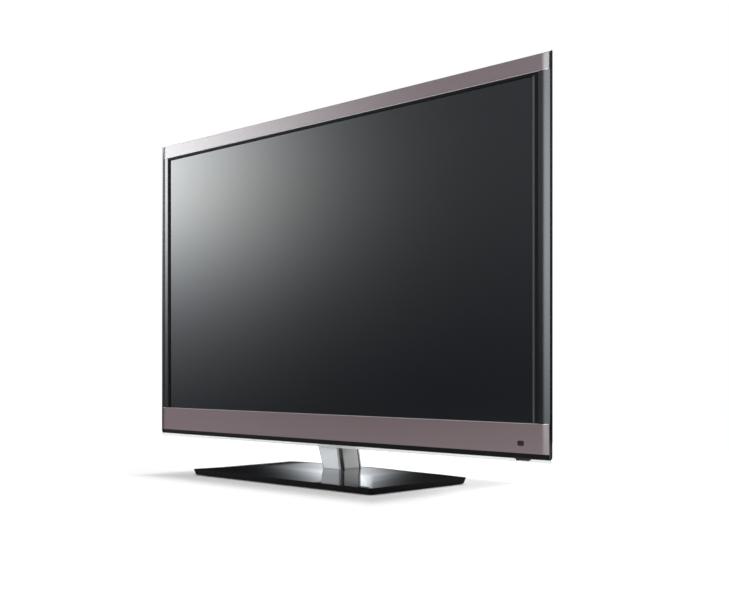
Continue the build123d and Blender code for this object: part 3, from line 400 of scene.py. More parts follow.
def cover_black(g):
    """Black back moulding with a fine grain and a faint sheen where it was handled."""
    grain = g.noise(sizes().grain_size, 2.0, rough=0.6)
    pits = g.cells(sizes().grain_size * 1.6)
    wear = g.noise(0.12, 4.0)
    colour = g.blend(0.5 * grain + 0.5 * wear, *tones(colours().cover, 0.8, 1.25))
    return g.gloss(colour, 0.46 + 0.14 * grain - 0.06 * wear, IOR=1.48,
                   Normal=g.bump(grain + 0.6 * pits, 0.00006))


def socket_black(g):
    """Smooth black moulding round the sockets."""
    flow = g.noise(0.004)
    return g.coat(flow, (0.014, 0.014, 0.015), (0.024, 0.024, 0.025), 0.32, 0.12,
                  Normal=g.bump(flow, 0.00001))


def socket_metal(g):
    """Nickel-plated pressed shell."""
    streak = g.noise(0.0012, 3.0, (1.0, 0.1, 1.0))
    return g.coat(streak, (0.6, 0.58, 0.54), (0.72, 0.7, 0.66), 0.18, 0.14, Metallic=1.0)


def threaded_metal(g):
    """Nickel-plated socket with a fine thread along its stem."""
    low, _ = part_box("aerial_socket")
    stem = g.spread(g.part(g.place(), "Z"), low.z + 7.9 * MM, low.z + 7.6 * MM)
    pitch = 0.8 * MM
    thread = g.node("TexWave", {"bands_direction": "Z", "wave_profile": "TRI"},
                    {"Vector": g.place(), "Scale": WAVE_LENGTH / pitch})
    dull = g.noise(0.002)
    return g.coat(dull, (0.6, 0.58, 0.54), (0.7, 0.68, 0.64), 0.2, 0.12, Metallic=1.0,
                  Normal=g.bump(thread * stem, 0.0003))


def screw_steel(g):
    """Zinc-plated steel with turning marks."""
    turned = g.noise(0.0006, 3.0)
    dull = g.noise(0.004)
    return g.gloss(g.blend(dull, (0.38, 0.38, 0.4), (0.52, 0.52, 0.54)), 0.25 + 0.2 * turned, Metallic=1.0,
                   Normal=g.bump(turned, 0.000008))


def key_black(g):
    """Semi-gloss key caps."""
    skin = g.noise(0.0012)
    return g.coat(skin, (0.02, 0.02, 0.022), (0.03, 0.03, 0.033), 0.24, 0.12, Normal=g.bump(skin, 0.00001))


def neck_chrome(g):
    """Bright satin plating of the neck's front."""
    drift = g.noise(0.05, 1.0, (1.0, 1.0, 0.3))
    return g.coat(drift, *tones(colours().neck, 0.98, 1.0), 0.3, 0.05, IOR=1.6)


def neck_grey(g):
    """Pale grey lacquer with fine flake."""
    flake = g.shades(0.0005)
    return g.coat(flake, *tones(colours().shell, 0.92, 1.08), 0.3, 0.08)


def neck_black(g):
    """Smooth black core of the neck; also the dark line before its rear edge, and the painted dark
    reflections at the sides of its front.
    """
    flow = g.noise(0.01, 2.0, (1.0, 1.0, 0.2))
    return g.coat(flow, (0.006, 0.006, 0.007), (0.012, 0.012, 0.013), 0.12, 0.08)


def bearing_plastic(g):
    """Pale low-friction moulding."""
    wear = g.noise(0.004)
    return g.coat(wear, (0.66, 0.65, 0.6), (0.76, 0.75, 0.71), 0.3, 0.2)


def foot_rubber(g):
    """Matt rubber with a fine bloom."""
    bloom = g.noise(0.0015, 3.0)
    return g.coat(bloom, (0.016, 0.016, 0.016), (0.03, 0.03, 0.029), 0.75, 0.15,
                  Normal=g.bump(bloom, 0.00004))


def contact_gold(g):
    """Gold-plated contacts."""
    dull = g.noise(0.0005)
    return g.coat(dull, (0.78, 0.55, 0.2), (0.86, 0.63, 0.27), 0.2, 0.12, Metallic=1.0)


def symbol_white(g):
    """White pad printing, a little thin in places."""
    thin = g.noise(0.0004)
    return g.coat(thin, (0.62, 0.62, 0.62), (0.78, 0.78, 0.78), 0.5, 0.1)


def pale_floor(g):
    """Matt floor that glows white away from the base; near the base the glow fades out, a painted shadow
    round and under it.
    """
    speck = g.noise(0.02, 3.0)
    matt = g.node("BsdfDiffuse", sockets={"Color": g.blend(speck, *tones(colours().floor, 0.98, 1.0))})
    glow = g.light("Emission", (1.0, 1.0, 1.0), 0.36)
    both = g.node("AddShader", sockets={0: matt, 1: glow})
    across, along = (g.part(g.place(), axis).maths("ABSOLUTE") for axis in "XY")
    _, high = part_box("base_cover")
    # Painted shadow: the glow is gone within 0.03 m of the base's footprint and full beyond 0.12 m.
    painted_shadow_distance = (across - high.x).maths("MAXIMUM", along - high.y)
    seen = g.rays("Is Camera Ray", "Is Glossy Ray", "Is Transmission Ray")
    return g.mixed(seen * g.spread(painted_shadow_distance, 0.03, 0.12), matt, both)


def ring_colour(colour):
    """A jack ring's finish, moulded in one colour."""
    def ring(g):
        flow = g.noise(0.001)
        return g.coat(flow, *tones(colour, 0.88, 1.0), 0.3, 0.1)
    return ring


FINISHES = {made.__name__: made for made in (
    gloss_black, satin_black, rose_metal, bright_edge, silver_trim, clear_acrylic, smoked_lens, dark_glass,
    margin_glass_painted_highlight, ground_edge_painted_highlight, white_film, light_guide_acrylic, guide_plastic, steel_sheet, board_green,
    lamp_strip, cover_black, socket_black, socket_metal, threaded_metal, screw_steel, key_black, neck_chrome,
    neck_grey, neck_black, bearing_plastic, foot_rubber, contact_gold, symbol_white, pale_floor)}
FINISHES.update({"ring_" + name: ring_colour(colour) for name, colour in (
    ("green", (0.05, 0.3, 0.08)), ("blue", (0.04, 0.12, 0.5)), ("red", (0.5, 0.02, 0.02)),
    ("white", (0.7, 0.7, 0.68)), ("yellow", (0.75, 0.5, 0.03)))})


def finish(name):
    """The material of that name, made when it is first asked for."""
    material = bpy.data.materials.get(name + "_finish")
    if material is None:
        material = bpy.data.materials.new(name + "_finish")
        material.use_nodes = True
        graph = Graph(material.node_tree)
        graph.out(FINISHES[name](graph))
    return material


# Piece building

def cad_copy(node):
    """A merged copy of a CAD node's mesh, with its flat faces whole."""
    shell = bmesh.new()
    shell.from_mesh(frame["nodes"][node].data)
    bmesh.ops.remove_doubles(shell, verts=shell.verts, dist=2 * HAIR)
    bmesh.ops.dissolve_limit(shell, angle_limit=math.radians(0.3), verts=shell.verts, edges=shell.edges)
    return shell


def bevel(shell, edges, width, segments=1):
    """Bevels these edges."""
    bmesh.ops.bevel(shell, geom=edges, offset=width, offset_type="OFFSET", segments=segments, profile=0.5,
                    affect="EDGES", clamp_overlap=True, material=-1)


def soften(shell, radius, segments=2, angle=35.0):
    """Rounds the edges that turn by more than the angle."""
    bevel(shell, [e for e in shell.edges if e.is_manifold and e.calc_face_angle() > math.radians(angle)],
          radius, segments)
    return shell


def cut(shell, point, normal):
    """Cuts the faces of a shell along a plane."""
    bmesh.ops.bisect_plane(shell, geom=shell.verts[:] + shell.edges[:] + shell.faces[:], plane_co=point,
                           plane_no=normal)


def cut_across(shell, places, axis):
    """Cuts a shell at these places along an axis."""
    normal = Vector((axis == 0, axis == 1, axis == 2))
    for place in places:
        cut(shell, normal * place, normal)


def mesh_of(shell, name):
    """The shell's mesh; the shell is freed."""
    mesh = bpy.data.meshes.new(name)
    shell.to_mesh(mesh)
    shell.free()
    return mesh


def placed(name, data):
    """A new object in the scene."""
    piece = bpy.data.objects.new(name, data)
    bpy.context.scene.collection.objects.link(piece)
    return piece


def settle(shell, name, node, *coats, slot=None):
    """A piece of the shell that stands for its node and rides with it, or rides on the set."""
    bmesh.ops.recalc_face_normals(shell, faces=shell.faces)
    mesh = mesh_of(shell, name)
    for coat in coats:
        mesh.materials.append(finish(coat))
    mesh.shade_smooth()
    mesh.set_sharp_from_angle(angle=math.radians(SHARP_ANGLE))
    piece = placed(name, mesh)
    weighted = piece.modifiers.new("Even shading", "WEIGHTED_NORMAL")
    weighted.keep_sharp = True
    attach(piece, BODY_OF[node] if node else "set")
    if node:
        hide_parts(node)
    return piece


def dress(node, radius=None, segments=2, coat=None):
    """A CAD node with rounded edges and its own finish."""
    shell = soften(cad_copy(node), radius or sizes().small_edge, segments)
    settle(shell, node + "_dressed", node, coat or SLOT_OF[node])


def coat_node(node):
    """Gives a CAD node its finish and leaves its shape."""
    for place in frame["nodes"][node].material_slots:
        place.link = "OBJECT"
        place.material = finish(SLOT_OF[node])


def add_box(shell, low, high):
    """A block between two corners."""
    low, high = Vector(low), Vector(high)
    made = bmesh.ops.create_cube(shell, size=1.0)["verts"]
    bmesh.ops.scale(shell, verts=made, vec=high - low)
    bmesh.ops.translate(shell, verts=made, vec=(low + high) / 2)


def turned(profile, matrix, steps):
    """A closed body turned from (radius, height) points about local Z, placed by a matrix."""
    shell = bmesh.new()
    verts = [shell.verts.new((radius, 0.0, height)) for radius, height in profile]
    edges = [shell.edges.new(pair) for pair in zip(verts, verts[1:])]
    bmesh.ops.spin(shell, geom=verts + edges, cent=(0, 0, 0), axis=UP, angle=math.tau, steps=steps,
                   use_merge=True)
    bmesh.ops.remove_doubles(shell, verts=shell.verts, dist=HAIR)
    bmesh.ops.transform(shell, matrix=matrix, verts=shell.verts)
    return shell


def merge(shell, other):
    """Adds another shell's mesh to this one and frees it."""
    mesh = mesh_of(other, "passing")
    shell.from_mesh(mesh)
    bpy.data.meshes.remove(mesh)


def add_ring(shell, centre, inner, outer, low, high):
    """A flat-ended upright ring between two heights over its centre."""
    profile = [(inner, low), (outer, low), (outer, high), (inner, high), (inner, low)]
    merge(shell, turned(profile, facing(centre, UP), 36))


def add_arc(shell, centre, radius, width, thick, start, sweep):
    """Part of a ring that lies flat on the back, at right angles to Y."""
    made = bmesh.ops.create_grid(shell, x_segments=1, y_segments=1, size=0.5)["verts"]
    bmesh.ops.scale(shell, verts=made, vec=(width, thick, 1.0))
    place = Matrix.Translation(centre) @ Matrix.Rotation(start, 4, "Y") @ Matrix.Translation((radius, 0, 0))
    bmesh.ops.transform(shell, matrix=place, verts=made)
    edges = {e for v in made for e in v.link_edges}
    faces = {f for v in made for f in v.link_faces}
    bmesh.ops.spin(shell, geom=[*made, *edges, *faces], cent=centre, axis=(0, 1, 0), angle=sweep, steps=24)


def add_prism(shell, centre, radius, thick, turn=0.0, segments=3):
    """A prism whose flat ends face along Y."""
    made = bmesh.ops.create_cone(shell, cap_ends=True, segments=segments, radius1=radius, radius2=radius,
                                 depth=thick)["verts"]
    place = Matrix.Translation(centre) @ Matrix.Rotation(turn, 4, "Y") @ Matrix.Rotation(math.pi / 2, 4, "X")
    bmesh.ops.transform(shell, matrix=place, verts=made)


def add_plate(shell, centre, wide, thick, tall):
    """A block around its centre."""
    half = Vector((wide, thick, tall)) / 2
    add_box(shell, Vector(centre) - half, Vector(centre) + half)


def facing(centre, axis):
    """A matrix that stands local Z along an axis at a point."""
    return Matrix.Translation(centre) @ Vector(axis).to_track_quat("Z", "Y").to_matrix().to_4x4()


def islands(node):
    """The lowest and highest corner of each solid in a CAD node, in order."""
    shell = cad_copy(node)
    waiting, boxes = set(shell.verts), []
    while waiting:
        group = rim = {waiting.pop()}
        while rim:
            rim = {edge.other_vert(vert) for vert in rim for edge in vert.link_edges} - group
            group = group | rim
        waiting -= group
        boxes.append([tuple(end(vert.co[i] for vert in group) for i in range(3)) for end in (min, max)])
    shell.free()
    return sorted(boxes)


def screw_head(radius, height, matrix):
    """A pan head with a cross recess; its seat is at local zero."""
    flat, reach, half = 0.78 * radius, 0.56 * radius, 0.13 * radius
    recess_depth, recess_taper = 0.6 * height, 0.7
    head = bmesh.new()
    bmesh.ops.create_circle(head, cap_ends=True, radius=flat, segments=28)
    for axis in (1, 0):
        cut_across(head, (-reach, -half, half, reach), axis)
    cross = []
    for face in head.faces:
        x, y, _ = (abs(c) for c in face.calc_center_median())
        if (x < reach and y < half) or (y < reach and x < half):
            cross.append(face)
    sunk = bmesh.ops.extrude_face_region(head, geom=cross)["geom"]
    verts = [g for g in sunk if isinstance(g, bmesh.types.BMVert)]
    bmesh.ops.delete(head, geom=cross, context="FACES")
    bmesh.ops.scale(head, verts=verts, vec=(recess_taper, recess_taper, 1.0))
    bmesh.ops.translate(head, verts=verts, vec=(0, 0, -recess_depth))
    rim = [e for e in head.edges if e.is_boundary]
    for widening, drop in ((1.17, 0.12), (1.09, 0.38), (1.005, 0.5)):
        ring = bmesh.ops.extrude_edge_only(head, edges=rim)["geom"]
        moved = [g for g in ring if isinstance(g, bmesh.types.BMVert)]
        rim = [g for g in ring if isinstance(g, bmesh.types.BMEdge)]
        bmesh.ops.scale(head, verts=moved, vec=(widening, widening, 1.0))
        bmesh.ops.translate(head, verts=moved, vec=(0, 0, -height * drop))
    bmesh.ops.transform(head, matrix=matrix @ Matrix.Translation((0, 0, height)), verts=head.verts)
    return head


def screws(node, axis, head_radius, head_height, shank_radius):
    """Every screw of a node, with the heads towards the axis."""
    shell = bmesh.new()
    along = max(range(3), key=lambda i: abs(axis[i]))
    for low, high in islands(node):
        centre = [(low[i] + high[i]) / 2 for i in range(3)]
        top, tip = (high[along], low[along]) if axis[along] > 0 else (low[along], high[along])
        centre[along] = top - head_height * axis[along]
        merge(shell, screw_head(head_radius, head_height, facing(centre, axis)))
        depth = abs(tip - centre[along])
        profile = [(0.0, 0.0), (shank_radius * 0.6, 0.0), (shank_radius, shank_radius), (shank_radius, depth)]
        centre[along] = tip
        merge(shell, turned(profile, facing(centre, axis), 12))
    settle(shell, node + "_crossed", node, SLOT_OF[node])


# Front: frame, bars, trims, clear strip and lenses

def rolled(node, over, inward=0.0, cut_edge=None, lowered=0.0):
    """A bar or trim whose outer ends roll back over the lip; its cut edge is left bright."""
    low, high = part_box(node)
    high.z -= lowered
    sides = [side for side in (-1, 1) if (high.x if side > 0 else -low.x) > ROLLED_FROM]
    low.x -= over if -1 in sides else inward
    high.x += over if 1 in sides else inward
    roll = ROLL_LENGTH + over
    radius = (roll ** 2 + ROLL_DROP ** 2) / (2 * ROLL_DROP)
    end = max(abs(low.x), abs(high.x))
    steps = sizes().roll_steps
    shell = bmesh.new()
    add_box(shell, low, high)
    cut_across(shell, [side * (end - roll * i / steps) for side in sides for i in range(1, steps + 1)], 0)
    if cut_edge is not None:
        level = (low, high)[cut_edge].z
        bevel(shell, [e for e in shell.edges if abs(e.verts[0].co.x - e.verts[1].co.x) > HAIR
                      and all(abs(v.co.y - low.y) < HAIR and abs(v.co.z - level) < HAIR for v in e.verts)],
              sizes().bright_cut)
        for face in shell.faces:
            face.material_index = int(abs(face.normal.y) > SLANTED and abs(face.normal.z) > SLANTED)
    for vert in shell.verts:
        if vert.co.y < (low.y + high.y) / 2:
            out = max(abs(vert.co.x) - (end - roll), 0.0)
            vert.co.y += radius - math.sqrt(radius ** 2 - out ** 2)
    soften(shell, sizes().bar_edge, 2, 60.0)
    coats = (SLOT_OF[node],) if cut_edge is None else (SLOT_OF[node], "bright_edge")
    return settle(shell, node + "_rolled", node, *coats)


class TELEVISION_OT_front(Operator):
    """Front frame, metal bars, side trims, clear strip and lenses"""
    bl_idname = "television.front"
    bl_label = "Front"

    def execute(self, context):
        self.frame()
        self.margins()
        rolled("upper_bar", sizes().roll_over, cut_edge=0, lowered=sizes().top_drop + sizes().shadow_gap)
        for node in ("left_trim", "right_trim"):
            rolled(node, sizes().trim_over, inward=TRIM_INWARD)
        self.lower_bar()
        strip = self.reached_down("clear_strip")
        settle(soften(strip, sizes().small_edge), "clear_strip_dressed", "clear_strip", "clear_acrylic")
        dress("receiver_lens", sizes().moulding_edge, 3)
        dress("indicator_window", sizes().small_edge, 3)
        return {"FINISHED"}

    def reached_down(self, node):
        """A copy of a node whose seam between the black and the clear strip lies lower."""
        shell = cad_copy(node)
        _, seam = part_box("clear_strip")
        moved = [v for v in shell.verts if abs(v.co.z - seam.z) < NEAR]
        bmesh.ops.translate(shell, verts=moved, vec=(0, 0, -sizes().strip_reach))
        return shell

    def frame(self):
        """The frame, satin in front with a gloss lip at both sides."""
        shell = self.reached_down("front_frame")
        _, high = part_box("front_frame")
        top = [v for v in shell.verts if high.z - v.co.z < NEAR]
        bmesh.ops.translate(shell, verts=top, vec=(0, 0, -sizes().top_drop))
        left = [v for v in shell.verts if abs(v.co.x + PICTURE_HALF) < NEAR]
        bmesh.ops.translate(shell, verts=left, vec=(-sizes().lip_shift, 0, 0))
        soften(shell, sizes().moulding_edge, 3)
        for face in shell.faces:
            face.material_index = int(abs(face.calc_center_median().x) > high.x - LIP_WIDTH)
        settle(shell, "front_frame_dressed", "front_frame", "satin_black", "gloss_black")

    def margins(self):
        """The lighter margin of the glass and its ground edge, at the right of the picture only: a painted
        highlight along that edge.
        """
        shell = bmesh.new()
        frame_low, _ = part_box("front_frame")
        glass_low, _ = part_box("picture_cell")
        front, depth = frame_low.y - NEAR, glass_low.y - frame_low.y
        inner = PICTURE_HALF - 2 * NEAR - depth
        outer = PICTURE_HALF + sizes().margin
        add_box(shell, (inner, front, PICTURE_LOW), (outer, glass_low.y, PICTURE_TOP))
        bevel(shell, [e for e in shell.edges if all(abs(v.co.x - inner) < HAIR and abs(v.co.y - front) < HAIR
                                                    for v in e.verts)], depth)
        for face in shell.faces:
            face.material_index = int(abs(face.normal.x) > SLANTED and abs(face.normal.y) > SLANTED)
        settle(shell, "glass_margins_painted_highlight", None, "margin_glass_painted_highlight", "ground_edge_painted_highlight", slot="dark_glass")

    def lower_bar(self):
        """The lower bar is rolled too, and has an opening for the indicator."""
        bar = rolled("lower_bar", sizes().roll_over, cut_edge=1)
        low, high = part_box("indicator_window")
        through, corner = 50.0 * MM, 3.0 * MM
        cutter = bmesh.new()
        add_box(cutter, (low.x, -through, low.z), (high.x, through, high.z))
        upright = [e for e in cutter.edges if abs(e.verts[0].co.y - e.verts[1].co.y) > through]
        bevel(cutter, upright, corner, 8)
        tool = bpy.data.objects.new("indicator_cutter", mesh_of(cutter, "indicator_cutter"))
        opening = bar.modifiers.new("Indicator opening", "BOOLEAN")
        opening.object, opening.operation, opening.solver = tool, "DIFFERENCE", "EXACT"
        while bar.modifiers[0] != opening:
            bar.modifiers.move(bar.modifiers.find(opening.name), 0)


class TELEVISION_OT_picture(Operator):
    """Panel glass"""
    bl_idname = "television.picture"
    bl_label = "Picture"

    def execute(self, context):
        dress("picture_cell")
        return {"FINISHED"}


class TELEVISION_OT_back(Operator):
    """Back cover with its grilles, screws and wall-mount standoffs"""
    bl_idname = "television.back"
    bl_label = "Back"

    def execute(self, context):
        dress("back_cover", sizes().cover_edge)
        for node in ("upper_vent", "lower_vent"):
            dress(node)
        self.louvres()
        dress("vesa_standoffs")
        screws("cover_screws", (0, 1, 0), 3.2 * MM, 1.3 * MM, 1.5 * MM)
        screws("stand_screws", (0, 1, 0), 5.0 * MM, 3.5 * MM, 3.0 * MM)
        return {"FINISHED"}

    def louvres(self):
        """Fine cross bars behind the ribs of both grilles."""
        shell = bmesh.new()
        count, half, inset = 6, 0.9 * MM, 4.0 * MM
        for node in ("upper_vent", "lower_vent"):
            low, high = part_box(node)
            for i in range(count):
                z = low.z + (high.z - low.z) * (i + 1) / (count + 1)
                add_box(shell, (low.x + inset, low.y, z - half), (high.x - inset, low.y + half, z + half))
        settle(shell, "vent_louvres", None, "cover_black", slot="cover_black")


class TELEVISION_OT_sockets(Operator):
    """Sockets with their contacts, ringed jacks, inlet with its pins, and their plates"""
    bl_idname = "television.sockets"
    bl_label = "Sockets"

    def execute(self, context):
        for node in ("hdmi_sockets", "usb_sockets", "side_socket_plate", "lan_socket", "aerial_socket",
                     "av_jacks", "lower_socket_plate", "power_inlet"):
            dress(node, sizes().small_edge / 2, coat="threaded_metal" if node == "aerial_socket" else None)
        self.contacts()
        self.jack_rings()
        self.inlet_pins()
        return {"FINISHED"}

    def contacts(self):
        """Gold contacts on the tongues and in the network socket."""
        shell = bmesh.new()
        width, reach, proud, ends = 0.5 * MM, 6.0 * MM, 0.16 * MM, 6.0 * MM
        for node, count, tongue in (("hdmi_sockets", 9, 0.9 * MM), ("usb_sockets", 4, 1.8 * MM)):
            for low, high in islands(node):
                middle = (Vector(low) + Vector(high)) / 2
                pitch = (high[2] - low[2] - ends) / (count - 1)
                for i in range(count):
                    spot = (low[0] + 5.5 * MM, middle.y, middle.z + (i - (count - 1) / 2) * pitch)
                    add_plate(shell, spot, reach, tongue + proud, width)
        low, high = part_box("lan_socket")
        middle, pitch = (low.x + high.x) / 2, 1.02 * MM
        for i in range(8):
            spot = (middle + (i - 3.5) * pitch, low.y + 10.2 * MM, low.z + 7.0 * MM)
            add_plate(shell, spot, 0.45 * MM, 0.4 * MM, 10.0 * MM)
        settle(shell, "socket_contacts", None, "contact_gold", slot="socket_metal")

    def jack_rings(self):
        """A coloured collar, an insulator and a metal sleeve on each jack."""
        low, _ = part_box("av_jacks")
        first, pitch, depth = 6.0 * MM, 17.0 * MM, 6.5 * MM
        hole, sleeve_in, sleeve_out, collar = 1.7 * MM, 3.3 * MM, 4.2 * MM, 5.4 * MM
        seat, top = 4.4 * MM, 8.0 * MM
        for i, colour in enumerate(("yellow", "white", "red", "blue", "green")):
            centre = (low.x + first + pitch * i, low.y + depth, low.z)
            shell = bmesh.new()
            add_ring(shell, centre, hole, sleeve_in, -0.06 * MM, 0.3 * MM)
            add_ring(shell, centre, sleeve_out - 0.1 * MM, collar, seat, top)
            settle(shell, "jack_ring_" + colour, None, "ring_" + colour, slot="socket_black")
            sleeve = bmesh.new()
            add_ring(sleeve, centre, sleeve_in, sleeve_out, -0.1 * MM, seat)
            settle(sleeve, "jack_sleeve_" + colour, None, "socket_metal", slot="socket_metal")

    def inlet_pins(self):
        """The two round pins of the mains inlet."""
        low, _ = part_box("power_inlet")
        middle, apart, depth, foot = 340.0 * MM, 8.6 * MM, 0.8 * MM, 2.9 * MM
        tip, radius, chamfer, tall = 0.8 * MM, 1.24 * MM, 0.5 * MM, 10.5 * MM
        profile = [(0.0, 0.0), (tip, 0.0), (radius, chamfer), (radius, tall), (0.0, tall)]
        shell = bmesh.new()
        for side in (-1, 1):
            centre = (middle + side * apart / 2, depth, low.z + foot)
            merge(shell, turned(profile, facing(centre, UP), 24))
        settle(shell, "inlet_pins", None, "socket_metal", slot="socket_metal")


class TELEVISION_OT_keys(Operator):
    """Key plate with its printed symbols, push keys and rockers"""
    bl_idname = "television.keys"
    bl_label = "Keys"

    def execute(self, context):
        for node in ("key_plate", "power_key", "input_key", "menu_key", "select_key", "channel_rocker",
                     "volume_rocker"):
            dress(node)
        self.symbols()
        return {"FINISHED"}

    def symbols(self):
        """Generic symbols printed beside the keys."""
        low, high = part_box("key_plate")
        shell = bmesh.new()
        thick, line, inset, apart = 0.06 * MM, 0.35 * MM, 4.2 * MM, 9.0 * MM

        def beside(node, up=0.0):
            """The place for a symbol beside a key, or above its middle."""
            key_low, key_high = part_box(node)
            return Vector((low.x + inset, high.y, (key_low.z + key_high.z) / 2 + up))

        # An open ring with a stroke for power
        spot = beside("power_key")
        add_arc(shell, spot, 1.5 * MM, line, thick, math.radians(-60), math.radians(300))
        add_plate(shell, spot + Vector((0, 0, 1.1 * MM)), line, thick, 1.7 * MM)
        # An arrow head in a frame for the input
        spot = beside("input_key")
        for way in (-1, 1):
            add_plate(shell, spot + Vector((way * 2.0 * MM, 0, 0)), line, thick, 3.0 * MM)
            add_plate(shell, spot + Vector((0, 0, way * 1.33 * MM)), 4.3 * MM, thick, line)
        add_prism(shell, spot, 0.8 * MM, thick, -math.pi / 2)
        # Three lines for the menu
        spot = beside("menu_key")
        for row in (-1, 0, 1):
            add_plate(shell, spot + Vector((0, 0, row * 1.1 * MM)), 3.4 * MM, thick, line)
        # A ring round a dot for select
        spot = beside("select_key")
        add_arc(shell, spot, 1.4 * MM, line, thick, 0.0, math.tau)
        add_prism(shell, spot, 0.5 * MM, thick, segments=16)
        # Arrow heads for the channel, plus and minus for the volume
        for way in (-1, 1):
            add_prism(shell, beside("channel_rocker", way * apart), 1.4 * MM, thick, math.pi * (way < 0))
            add_plate(shell, beside("volume_rocker", way * apart), 2.6 * MM, thick, line)
        add_plate(shell, beside("volume_rocker", apart), line, thick, 2.6 * MM)
        settle(shell, "key_symbols", None, "symbol_white", slot="white_film")


def between(pair, share):
    """The value at a share of the way from the first of a pair to the second."""
    return pair[0] + (pair[1] - pair[0]) * share


class TELEVISION_OT_neck(Operator):
    """Bright front, black core, grey shell and dark edge of the neck"""
    bl_idname = "television.neck"
    bl_label = "Neck"

    def execute(self, context):
        for node, reach, line in (("neck_front_face", 0.0, 0.0), ("neck_spacer", 0.0, 0.0),
                                  ("neck_rear_shell", sizes().neck_reach, 0.0),
                                  ("neck_rear_edge", 0.0, sizes().neck_line)):
            self.slice_of(node, reach, line)
        return {"FINISHED"}

    def slice_of(self, node, reach, line):
        """A slice of the neck whose front may reach forward, or turn black for a line's width; the bright
        front gets a painted dark reflection at its sides.
        """
        shell = cad_copy(node)
        bmesh.ops.scale(shell, verts=shell.verts, vec=(sizes().neck_share, 1.0, 1.0))
        self.set_forward(shell)
        if line:
            front = self.front_of(shell)
            cut(shell, front.verts[0].co - line * front.normal, front.normal)
        front = self.front_of(shell)
        way, place = front.normal.copy(), front.verts[0].co.copy()
        bmesh.ops.translate(shell, verts=front.verts[:], vec=(0, -reach, 0))
        # Dark stripes at the sides of the front are a painted reflection of its edges mirroring dark.
        painted_reflection = node == "neck_front_face"
        if painted_reflection:
            for face in bmesh.ops.inset_region(shell, faces=[front], thickness=sizes().neck_painted_reflection,
                                               use_even_offset=True)["faces"]:
                face.material_index = int(abs(face.calc_center_median().x) > sizes().neck_painted_reflection)
        soften(shell, sizes().neck_edge, 3)
        if line:
            for face in shell.faces:
                face.material_index = int((place - face.calc_center_median()).dot(way) < line)
        coat = "neck_chrome" if line else SLOT_OF[node]
        coats = (coat, "neck_black") if line or painted_reflection else (coat,)
        settle(shell, node + "_dressed", node, *coats, slot=coat)

    def front_of(self, shell):
        """The face that looks forward."""
        return next(f for f in shell.faces if f.normal.y < -0.9)

    def set_forward(self, shell):
        """Moves a slice forward, most at the neck's front and foot."""
        low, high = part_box("neck_front_face")
        for vert in shell.verts:
            up = (vert.co.z - low.z) / (high.z - low.z)
            front, rear = between(NECK_FRONT, up), between(NECK_REAR, up)
            reach = between((sizes().neck_foot, sizes().neck_top), up)
            share = (rear - vert.co.y) / (rear - front)
            vert.co.y -= between((sizes().neck_rear, reach), share)


class TELEVISION_OT_base(Operator):
    """Glossy base with its turntable disc, plate, feet and screws"""
    bl_idname = "television.base"
    bl_label = "Base"

    def execute(self, context):
        cover = soften(cad_copy("base_cover"), sizes().base_edge, 4)
        steep = 0.4  # a face whose normal rises less than this is satin
        for face in cover.faces:
            face.material_index = int(face.normal.z < steep)
        settle(cover, "base_cover_dressed", "base_cover", "gloss_black", "satin_black")
        for node in ("turntable_cover", "base_plate", "rubber_feet"):
            dress(node)
        screws("base_screws", (0, 0, -1), 3.2 * MM, 1.3 * MM, 1.5 * MM)
        return {"FINISHED"}


class TELEVISION_OT_insides(Operator):
    """Finishes of the parts inside"""
    bl_idname = "television.insides"
    bl_label = "Insides"

    def execute(self, context):
        for node, piece in frame["nodes"].items():
            if not piece.hide_render:
                coat_node(node)
        return {"FINISHED"}


